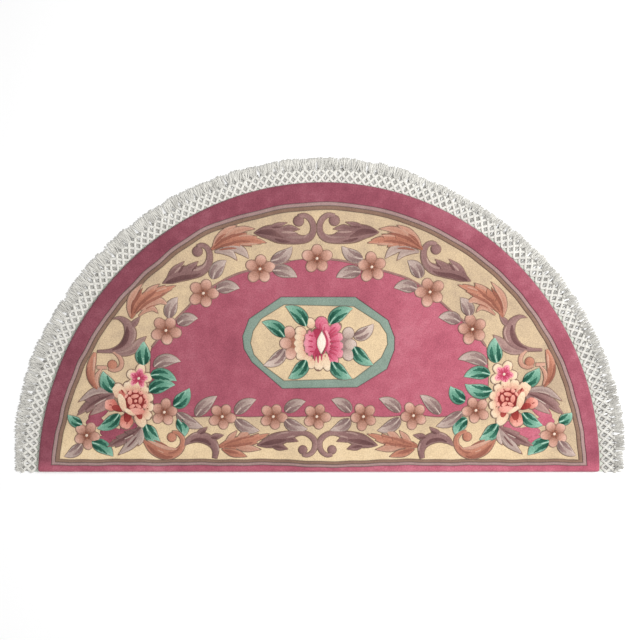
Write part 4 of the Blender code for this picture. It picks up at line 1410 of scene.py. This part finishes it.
@dataclass
class Roses:
    """The rose of the medallion, its small petals and the two corner roses."""

    rim: Place = (0.35, 0.4)
    dent: float = 0.14
    # Across, up, reach along and across its axis, turn in degrees
    cream_rim: Sequence[tuple] = (
        (-8.1, 148.8, 5.6, 4.6, 100), (-18.0, 140.6, 6, 4.8, 155), (-19.2, 134.6, 5.6, 4.2, 170),
        (-19.8, 128.6, 5.6, 4.2, 180), (-19.4, 122.6, 5.6, 4.4, 190), (-17.2, 116.8, 5.8, 4.8, 210),
        (-11.0, 113.4, 5, 4.6, 240), (-7.4, 108.6, 5.4, 4.6, 262),
    )
    pink_rim: Sequence[tuple] = (
        (15.4, 143.0, 8.6, 5.2, 38), (17.6, 134.6, 8, 5, 12), (18.6, 126.6, 7, 4.6, -4),
        (18.2, 119.6, 8, 5.2, -24), (14.2, 113.4, 7.4, 5, -55),
    )
    # Start across and up, end across and up, width
    top_folds: Sequence[tuple] = ((2.0, 141.5, 0.6, 151.4, 2.4), (5.4, 141.5, 6.4, 150.6, 1.6))
    pink_folds: Sequence[tuple] = (
        (10, 138, 19.6, 147.6, 2.5), (11, 134, 22.4, 139.4, 2.5), (11, 130, 23.4, 130.4, 2.5),
        (11, 126, 22.8, 123, 2.5), (10.6, 121, 20.8, 114.4, 2.5), (9.6, 118, 15.6, 109.6, 2.5),
        (11, 136, 21, 144, 2.5), (11.6, 124, 22, 118.4, 2.5),
    )
    foot_folds: Sequence[tuple] = (
        (-5, 119, -3.4, 108, 2.4), (-1, 118, -0.4, 104.6, 2.6), (3, 118, 2.6, 106.4, 2.0),
        (6.4, 117, 6.2, 108.6, 1.4), (9.6, 117, 8.8, 107, 1.2),
    )
    heart_folds: Sequence[Place] = ((-12.6, 136.6), (-13.2, 130.6), (-13.0, 124.6), (-11.8, 119.4))
    # Across, up, turn of the small petals beside the medallion's rose
    peach_petals: Sequence[Knot] = ((-29.6, 139.6, 100), (-33.0, 128.8, 180), (-28.2, 118.6, 250))
    mauve_petals: Sequence[Knot] = ((29.6, 138.6, 80), (31.6, 127.4, 0), (29.4, 117.4, -70))

    # Middle of the left and of the right corner rose, and how much higher their pads lie
    corner_middles: Sequence[Place] = ((-183.8, 70.4), (189.0, 72.4))
    corner_lift: float = 0.5
    # Across, up, reach along and across its axis, turn; from the rose's own middle
    corner_rim: Sequence[tuple] = (
        (11.4, -13.0, 6.2, 5.4, 325), (13.8, -5.2, 5.6, 5.2, 350), (13.4, 3.8, 5.6, 5.2, 15),
        (9.0, 10.8, 5.8, 5.2, 50), (1.8, 14.6, 6.6, 6, 85), (-6.4, 14.4, 6.4, 5.6, 105),
    )
    corner_heart: Sequence[tuple] = (
        (-4.9, 0.8, 5.0, 2.9, 98), (0.0, 5.4, 5.0, 2.5, 10), (5.6, 1.4, 4.6, 2.5, 82),
        (3.4, -4.4, 4.2, 2.2, -32), (-2.8, -4.8, 4.0, 2.3, 28), (0.7, 0.6, 2.1, 1.9, 40),
    )
    corner_folds: Sequence[tuple] = (
        (9.4, 8.2, 12.4, 9.4, 1.2), (10.8, -6.6, 13.6, -9.0, 1.4), (5, 10.8, 5.8, 13.8, 1.2),
        (-11, 6, -15, 13, 2.0), (-9, 9, -4.6, 9.8, 1.5), (2.6, 10, 7.6, 8.4, 1.4),
        (-5.4, 3.6, -5.0, -1.6, 1.3), (-1.8, 6.0, 2.8, 6.4, 1.1), (10.4, 3, 10.2, -4.4, 1.5),
        (-22, -4.6, -28, -3.4, 1.4), (-8, -19, -9, -25, 1.4),
    )

    @staticmethod
    def folds(rose: Pile, rows: Sequence[tuple], dye: Dye, rise: float,
              taper: Sequence[Place] = ((1.0, 0.0), (0.8, 0.0), (0.0, 0.2)),
              bow: Place = (0.0, 0.6), tone: Place = (-0.2, 0.6)) -> None:
        """Add fold lines.

        Args:
            rose: The rose.
            rows: Start across and up, end across and up, and width of each.
            dye: Their wool.
            rise: Height above the ground pile, in millimetres.
            taper: At start, middle and end, the share of the width and the squares added to it.
            bow: How far their middles lie to the right and up from the straight way, in squares.
            tone: Tone at start and end.
        """
        for x0, y0, x1, y1, width in rows:
            middle = ((x0 + x1) / 2 + rose.flip * bow[0], (y0 + y1) / 2 + bow[1])
            rose.ribbon([(*place, share * width + more) for place, (share, more)
                         in zip(((x0, y0), middle, (x1, y1)), taper)], dye, rise, tone)

    def medallion(self) -> bpy.types.Object:
        """Make the medallion's rose, from its outer petals to its white heart.

        Returns:
            The piece.
        """
        rose = Pile("rose_medallion", rim=self.rim)
        for row in self.cream_rim:
            rose.pad(*row, Dye.PETAL_CREAM, 2.0, (-0.7, 0.5))
        self.folds(rose, [(-12.6, 128.5 + (up - 128.5) * 0.8, -21.4, up, 1.2)
                          for up in (137.4, 131.4, 125.6, 119.6)], Dye.CORAL, 2.6)
        rose.pad(2.6, 148.6, 7.2, 6.8, 85, Dye.PETAL_PINK, 2.1, (-0.9, 0.4))
        rose.pad(8.0, 141.6, 8.6, 4.6, 112, Dye.PETAL_PINK, 2.3, (-0.7, 0.3))
        self.folds(rose, self.top_folds, Dye.PETAL_DEEP, 2.6)
        for row in self.pink_rim:
            rose.pad(*row, Dye.PETAL_PINK, 2.3, (-1.1, 0.7), 3, self.dent)
        self.folds(rose, self.pink_folds, Dye.PETAL_DEEP, 2.8)
        rose.pad(7.6, 110.0, 9.4, 4.8, 280, Dye.PETAL_CREAM, 2.2, (-0.4, 0.5))
        rose.pad(0.4, 109.4, 8.6, 5.4, 262, Dye.PETAL_CREAM, 2.3, (-0.6, 0.6), 4, self.dent)
        self.folds(rose, self.foot_folds, Dye.PETAL_DEEP, 2.8)
        rose.pad(-1.6, 129.4, 7.6, 15.0, 0, Dye.PETAL_DEEP, 2.4, (-0.2, -0.5))
        rose.pad(-8.4, 128.6, 7.2, 14.2, 0, Dye.PETAL_PINK, 2.8, (0.9, -0.7), 9, self.dent)
        self.folds(rose, [(left + 7.0, 128.6 + (up - 128.6) * 0.9, left, up, 2.2)
                          for left, up in self.heart_folds], Dye.PETAL_DEEP, 3.4)
        rose.pad(8.6, 130.4, 13.6, 3.8, 96, Dye.PETAL_PINK, 2.6, (-0.6, 1.0), pinch=0.3)
        rose.ribbon([(4.6, 118, 1.2), (8.4, 127, 2.6), (7.8, 134, 2.4), (4.4, 142.6, 1.0)],
                    Dye.PETAL_DEEP, 3.2, (0.0, -0.3))
        rose.pad(2.6, 129.4, 11.8, 4.7, 88, Dye.WHITE, 3.5, (-0.3, 0.0), pinch=0.7)
        return rose.make()

    @staticmethod
    def side_petals(name: str, spots: Sequence[Knot], dye: Dye, dark: Dye,
                    tone: Place) -> bpy.types.Object:
        """Make the three small petals at one side of the medallion's rose.

        Args:
            name: Name of the piece.
            spots: Across, up and turn of each petal.
            dye: Their wool.
            dark: Wool of the shade behind them.
            tone: Tone at the back and at the front of each.

        Returns:
            The piece.
        """
        piece = Pile(name)
        inward = 6.4 if spots[0][0] < 0 else -6.4
        piece.pad(spots[1][0] + inward, 129, 4.6, 11, 0, dark, 1.6, (0.4, 0.4), line=False)
        for across, up, turn in spots:
            piece.pad(across, up, 6.3, 5.9, turn, dye, 2.4, tone)
        return piece.make()

    def corner(self, side: Side) -> bpy.types.Object:
        """Make the rose of one corner, from its outer petals to its heart.

        Args:
            side: The half that it lies on.

        Returns:
            The piece.
        """
        rose = Pile(f"corner_rose_{side.name.lower()}", flip=side.value, lift=self.corner_lift,
                    middle=self.corner_middles[0 if side is Side.LEFT else 1], rim=self.rim)
        rose.pad(-24.4, -3.0, 7.4, 6.8, 175, Dye.CORAL, 2.0, (-0.4, 1.3), 5)
        rose.pad(-17.4, -6.6, 7.4, 3.4, 165, Dye.RED, 2.3, (-0.3, 0.9), line=False)
        rose.pad(-8.6, -20, 8, 7.4, 250, Dye.CORAL, 2.0, (-0.6, 1.2), 5)
        rose.pad(-7.4, -15.6, 6.6, 4.6, 262, Dye.RED, 2.3, (-0.4, 0.7), 4, line=False)
        rose.pad(5.4, -18.2, 9.0, 5.6, 300, Dye.PETAL_CREAM, 2.1, (-0.7, 0.5))
        rose.pad(4.4, -13.6, 5.4, 3.6, 296, Dye.RED, 2.4, (-0.2, 0.9), line=False)
        for row in self.corner_rim:
            rose.pad(*row, Dye.PETAL_CREAM, 2.1, (-1.3, 0.7), 5)
        rose.pad(-15.4, 10, 9.6, 7.4, 128, Dye.PETAL_CREAM, 2.3, (-0.9, 0.5), 5)
        rose.pad(-12.6, 7.4, 5.6, 3.4, 130, Dye.CORAL, 2.6, (-0.9, 0.4), line=False)
        rose.pad(0.4, 0.4, 12.6, 11.4, 20, Dye.RED, 2.4, (-0.2, 0.3), 9)
        for turn in range(-60, 151, 30):
            uneven = math.sin(0.11 * turn)
            rose.pad(0.4 + 10.8 * math.cos(math.radians(turn)),
                     0.4 + 9.8 * math.sin(math.radians(turn)), 2.1 + 0.5 * uneven,
                     2.8 - 0.6 * uneven, turn + 16 * uneven, Dye.CORAL, 2.6, (0.2, 1.5),
                     line=False)
        for across, up, long, wide, turn in self.corner_heart:
            rose.pad(across, up, long + 1.2, wide + 1.2, turn, Dye.RED, 2.75, (-0.2, 0.2),
                     line=False)
            rose.pad(across, up, long, wide, turn, Dye.CORAL, 3.0, (0.1, 1.1), line=False)
        rose.pad(-12.8, -0.4, 10.6, 4.0, 105, Dye.PETAL_CREAM, 2.9, (-0.5, 0.6))
        rose.pad(1.6, -9.6, 9.0, 4.0, 178, Dye.CORAL, 3.0, (0.4, 1.3))
        rose.pad(-5.6, -10.2, 7.4, 2.6, 150, Dye.PETAL_CREAM, 3.1, (-0.4, 0.6))
        self.folds(rose, self.corner_folds, Dye.RED, 3.9, ((0.0, 0.5), (1.0, 0.0), (0.0, 0.4)),
                   (0.8, 0.8), (0.1, 0.4))
        return rose.make()

    def build(self) -> list[bpy.types.Object]:
        """Make all the roses.

        Returns:
            The pieces.
        """
        return [
            self.medallion(),
            self.side_petals("peach_petals_medallion", self.peach_petals, Dye.PEACH, Dye.THROAT,
                             (-0.6, 1.3)),
            self.side_petals("mauve_petals_medallion", self.mauve_petals, Dye.MAUVE_PALE,
                             Dye.MAUVE_DARK, (-1.0, 0.6)),
            *(self.corner(side) for side in Side),
        ]


@dataclass
class Fringe:
    """The cotton fringe: heading, knotted net and loose locks of single yarns."""

    columns: int = 112
    # Distance of each row of knots from the rim, in millimetres
    rows: Sequence[float] = (5.0, 16.5, 28.5, 39.0)
    # How much narrower the heading and net are at the crown of the arc
    pull_in: float = 5.5
    yarn: float = 1.3
    ends: int = 15
    # Darker yarns under the net for each column, which paint shade into the net's holes
    hole_shade_yarns: int = 9
    # How much painted shade darkens the cotton toward its right end
    right_end_shade: float = 0.32
    seed: int = 5
    # Section of the heading: distance from the rim and height above the floor
    heading_section: Sequence[Place] = (
        (0.35, 0.3), (0.35, 2.2), (2.0, 2.7), (5.0, 2.5), (8.4, 2.3), (9.6, 1.5), (9.6, 0.3),
    )
    heading_width: float = 9.6
    heading_steps: int = 420
    # Angle round the arc in degrees, reach beyond the rim in millimetres
    reach: Sequence[Place] = (
        (0, 58), (8, 68), (35, 62), (62, 53), (78, 60), (105, 60), (138, 69), (160, 72),
        (172, 66), (180, 56),
    )
    # Angles at which the locks part and are shorter
    notches: Sequence[float] = (101.6, 122.9, 135.0, 146.5, 68.0, 31.0)

    def __post_init__(self) -> None:
        """Measure the rim, so that a share of its length gives a place on it."""
        self.rim = rim_line(1441)
        self.away = outward(self.rim)
        run = np.concatenate([[0.0], np.cumsum(np.hypot(*np.diff(self.rim, axis=0).T))])
        self.run = run / run[-1]
        self.angles = np.linspace(0, math.pi, len(self.rim))
        self.draw = random.Random(self.seed)

    def angle(self, share: float) -> float:
        """Return the angle round the arc at a share of the rim's length."""
        return float(np.interp(share, self.run, self.angles))

    def drawn_in(self, share: float) -> float:
        """Return how many millimetres the net is narrower at a share of the rim's length."""
        return self.pull_in * math.sin(self.angle(share)) ** 3

    def eased(self, share: float, distance: float) -> float:
        """Return a distance from the rim, drawn in towards the crown of the arc."""
        return max(distance - self.drawn_in(share), 0.4)

    def spot(self, share: float, distance: float, height: float) -> np.ndarray:
        """Return a point in metres.

        Args:
            share: Share of the rim's length, from the right end.
            distance: Distance beyond the rim, in millimetres.
            height: Height above the floor, in millimetres.

        Returns:
            The point.
        """
        share = min(max(share, 0.0), 1.0)
        place = [np.interp(share, self.run, self.rim[:, i]) for i in (0, 1)]
        way = np.array([np.interp(share, self.run, self.away[:, i]) for i in (0, 1)])
        flat = np.array(on_chart(*place)) + way / np.hypot(*way) * distance * MM
        return np.array([*flat, height * MM])

    def tube(self, piece: Cloth, points: np.ndarray, radii: np.ndarray, sides: int,
             tone: Place) -> None:
        """Add a yarn.

        Args:
            piece: The piece that it belongs to.
            points: Points of its middle line, in metres.
            radii: Its radius at each point, in metres.
            sides: Sides of its section.
            tone: Tone at its start and end, before the painted shade toward the right end.
        """
        slope = np.gradient(points, axis=0)
        slope /= np.linalg.norm(slope, axis=1)[:, None]
        side = np.cross(slope, (0.0, 0.0, 1.0))
        side /= np.maximum(np.linalg.norm(side, axis=1), 1e-9)[:, None]
        top = np.cross(side, slope)
        turn = (np.arange(sides) * 2 * math.pi / sides)[None, :, None]
        rings = (points[:, None] + radii[:, None, None]
                 * (side[:, None] * np.cos(turn) + top[:, None] * np.sin(turn)))
        length = np.concatenate([[0.0], np.cumsum(np.linalg.norm(np.diff(points, axis=0), axis=1))])
        right = points[:, :1] / PILE_HIGH.x
        tones = np.linspace(*tone, len(points))[:, None] + 0.3
        # Painted shade: the cotton is painted darker toward the rug's right end
        tones -= self.right_end_shade * (right + 1.4 * right ** 2)
        piece.loft(rings[:, ::-1], COTTON, tones, (np.arange(sides) / sides)[None],
                   length[:, None])

    def heading(self) -> bpy.types.Object:
        """Make the woven heading that is sewn to the rim.

        Returns:
            The piece.
        """
        piece = Cloth("fringe_heading")
        rings = []
        for share in np.linspace(0, 1, self.heading_steps + 1):
            wide = (self.heading_width - self.drawn_in(share)) / self.heading_width
            rings.append([self.spot(share, max(distance * wide, 0.35), height)
                          for distance, height in self.heading_section])
        piece.loft(np.array(rings), HEADING)
        return piece.make(flat=True)

    def net(self) -> bpy.types.Object:
        """Make the net: four-ply strands from knot to knot, over a layer of darker yarns that paints
        shade into its holes.

        Returns:
            The piece.
        """
        piece = Cloth("fringe_net")
        for row in range(len(self.rows) - 1):
            shift = 0.5 if row % 2 == 0 else 0.0
            for column in range(self.columns + 1):
                start = (column + shift) / self.columns
                for lean in (-0.5, 0.5):
                    end = start + lean / self.columns
                    if start <= 1 and -0.001 <= end <= 1.001:
                        self.strand(piece, start, end, self.rows[row], self.rows[row + 1])
        # Painted shade: a low layer of darker yarns under the net fills its holes
        for number in range(self.columns * self.hole_shade_yarns):
            share = (number + 0.5 + self.draw.uniform(-0.2, 0.2)) / (self.columns * self.hole_shade_yarns)
            lean = self.draw.uniform(-0.15, 0.15) / self.columns
            points = [self.spot(share + lean * t, self.eased(share, 4 + 38 * t), 0.95 + 0.25 * t)
                      for t in (0.0, 0.25, 0.5, 0.75, 1.0)]
            self.tube(piece, np.array(points), np.full(5, 0.9 * MM), 4, (-0.6, -0.6))
        return piece.make()

    def strand(self, piece: Cloth, start: float, end: float, near: float, far: float) -> None:
        """Add one strand of four plies between two knots.

        Args:
            piece: The net.
            start: Share of the rim's length at its first knot.
            end: The same at its last knot.
            near: Distance of its first knot from the rim, in millimetres.
            far: The same of its last knot.
        """
        first = self.spot(start, self.eased(start, near), 2.9)
        way = self.spot(end, self.eased(end, far), 2.9) - first
        side = np.array([-way[1], way[0], 0.0]) / np.hypot(way[0], way[1])
        phase = self.draw.uniform(0, 2 * math.pi)
        bow = self.draw.uniform(-0.8, 0.8) * MM
        share = np.linspace(0, 1, 6)
        for ply in range(4):
            twist = phase + ply * math.pi / 2 + share * 2.2 * math.pi
            sway = bow * np.sin(math.pi * share) + 2.2 * MM * np.cos(twist)
            points = first + way * share[:, None] + side * sway[:, None]
            points[:, 2] += 1.1 * MM * np.sin(twist)
            self.tube(piece, points, np.full(6, 1.2 * self.yarn * MM), 5, (0.5, 0.5))

    def knots(self) -> bpy.types.Object:
        """Make the knots where the strands of the net meet.

        Returns:
            The piece.
        """
        piece = Cloth("fringe_knots")
        for row, distance in enumerate(self.rows[1:], 1):
            shift = 0.5 if row % 2 == 0 else 0.0
            for column in range(self.columns + 1):
                share = (column + shift) / self.columns
                if share > 1:
                    continue
                centre = self.spot(share, self.eased(share, distance + self.draw.uniform(-0.6, 0.6)),
                                   3.1)
                size = self.draw.uniform(3.6, 4.3) * MM
                lift = np.array((-0.8, -0.35, 0.2, 0.7, 0.95))[:, None]
                turn = np.arange(8) * math.pi / 4 + 0.3 * lift
                wide = size * np.sqrt(1 - lift ** 2)
                rings = np.stack([wide * np.cos(turn), wide * np.sin(turn),
                                  0.75 * size * lift + 0.0 * turn], axis=-1)
                piece.loft(centre + rings, COTTON, 0.5, 0.0, np.arange(5)[:, None] * 0.8 * MM)
        return piece.make()

    def locks(self) -> bpy.types.Object:
        """Make the loose ends, gathered into uneven locks below the last knots.

        Returns:
            The piece.
        """
        piece = Cloth("fringe_locks")
        radii = self.yarn * MM * np.array([0.9, 1, 1, 1, 0.95, 0.9, 0.5])
        for column in range(self.columns + 1):
            share = column / self.columns
            degrees = math.degrees(self.angle(share))
            root = self.eased(share, self.rows[-1]) - 3
            pull = self.draw.uniform(-0.14, 0.14)
            near_notch = min(abs(degrees - notch) for notch in self.notches)
            reach = float(np.interp(degrees, *zip(*self.reach)))
            reach += self.draw.uniform(-1.5, 2.5) - 6 * max(0.0, 1 - near_notch / 1.1)
            for i in range(self.ends):
                aside = (i - (self.ends - 1) / 2) / self.ends
                tip = share + (aside * 1.2 + pull + self.draw.uniform(-0.09, 0.09)) / self.columns
                if not 0.0005 < tip < 0.9995:
                    continue
                end = reach + self.draw.uniform(-2.5, 1.5) - 3.6 * aside ** 2
                bow = self.draw.uniform(-0.09, 0.09) / self.columns
                low, high = 1.3, self.draw.uniform(1.5, 5.6)
                points = [self.spot(
                    share + (tip - share) * (0.2 + 0.8 * t ** 0.55) + bow * math.sin(6 * t),
                    root + (end - root) * t, low + (high - low) * (1 - t) ** 0.7)
                    for t in np.arange(7) / 6]
                shade = self.draw.uniform(-0.3, 0.3)
                self.tube(piece, np.array(points), radii, 5, (shade - 0.25, shade + 0.3))
        return piece.make()

    def build(self) -> list[bpy.types.Object]:
        """Make the whole fringe.

        Returns:
            The heading, net, knots and locks.
        """
        made = [self.heading(), self.net(), self.knots(), self.locks()]
        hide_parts("fringe")
        return made


@dataclass
class Studio:
    """The plain pale floor, the soft light and the camera straight above."""

    lens: float = 85.0
    view_width: float = 640 * SQUARE
    aim: Place = (1.25, 152.0)
    floor_size: float = 9.0
    floor_shade: float = 0.96
    world_strength: float = 0.43
    # Name, place in metres, width in metres and power of each lamp
    lamps: Sequence[tuple] = (
        ("key_light", (2.2, 0.4, 2.6), 1.5, 105), ("fill_light", (-1.8, -0.8, 3.0), 2.4, 29),
    )

    def floor(self) -> None:
        """Lay the floor."""
        bpy.ops.mesh.primitive_plane_add(size=self.floor_size)
        floor = bpy.context.object
        floor.name = "floor"
        material = bpy.data.materials.new("pale_floor")
        material.use_nodes = True
        shader = material.node_tree.nodes["Principled BSDF"]
        shader.inputs["Base Color"].default_value = (*[self.floor_shade] * 3, 1.0)
        shader.inputs["Roughness"].default_value = 0.9
        floor.data.materials.append(material)

    def lamp(self, name: str, place: Knot, size: float, power: float) -> None:
        """Hang one square soft light that faces the rug.

        Args:
            name: Its name.
            place: Where it hangs, in metres.
            size: Its width, in metres.
            power: Its power, in watts.
        """
        light = bpy.data.lights.new(name, "AREA")
        light.shape = "SQUARE"
        light.size = size
        light.energy = power
        lamp = bpy.data.objects.new(name, light)
        bpy.context.scene.collection.objects.link(lamp)
        lamp.location = place
        lamp.rotation_euler = (-Vector(place)).to_track_quat("-Z", "Y").to_euler()

    def camera(self) -> None:
        """Set the camera straight above the rug."""
        x, y = on_chart(*self.aim)
        data = bpy.data.cameras.new("camera")
        data.lens = self.lens
        data.clip_end = 20
        camera = bpy.data.objects.new("camera", data)
        bpy.context.scene.collection.objects.link(camera)
        distance = self.lens / data.sensor_width * self.view_width
        camera.location = (float(x), float(y), GROUND + distance)
        bpy.context.scene.camera = camera

    def build(self) -> None:
        """Set up floor, light, world and camera."""
        self.floor()
        for lamp in self.lamps:
            self.lamp(*lamp)
        world = bpy.data.worlds.new("studio")
        world.use_nodes = True
        background = world.node_tree.nodes["Background"]
        background.inputs["Color"].default_value = (1.0, 1.0, 1.0, 1.0)
        background.inputs["Strength"].default_value = self.world_strength
        scene = bpy.context.scene
        scene.world = world
        scene.view_settings.view_transform = "Standard"
        self.camera()


def main() -> None:
    logging.basicConfig(level=logging.INFO)
    Studio().build()
    for make_surface in (make_pile_surface, make_yarn_surface, make_weave_surface):
        make_surface()
    grounds = Grounds().build()
    motifs = [piece for maker in (Vines, Scrolls, Leaves, Blossoms, Roses)
              for piece in maker().build()]
    fringe = Fringe().build()
    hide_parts("rug_pile")
    for piece in (*grounds, *motifs, *fringe):
        LOG.info("%s: %d faces", piece.name, len(piece.data.polygons))


if __name__ == "__main__":
    main()
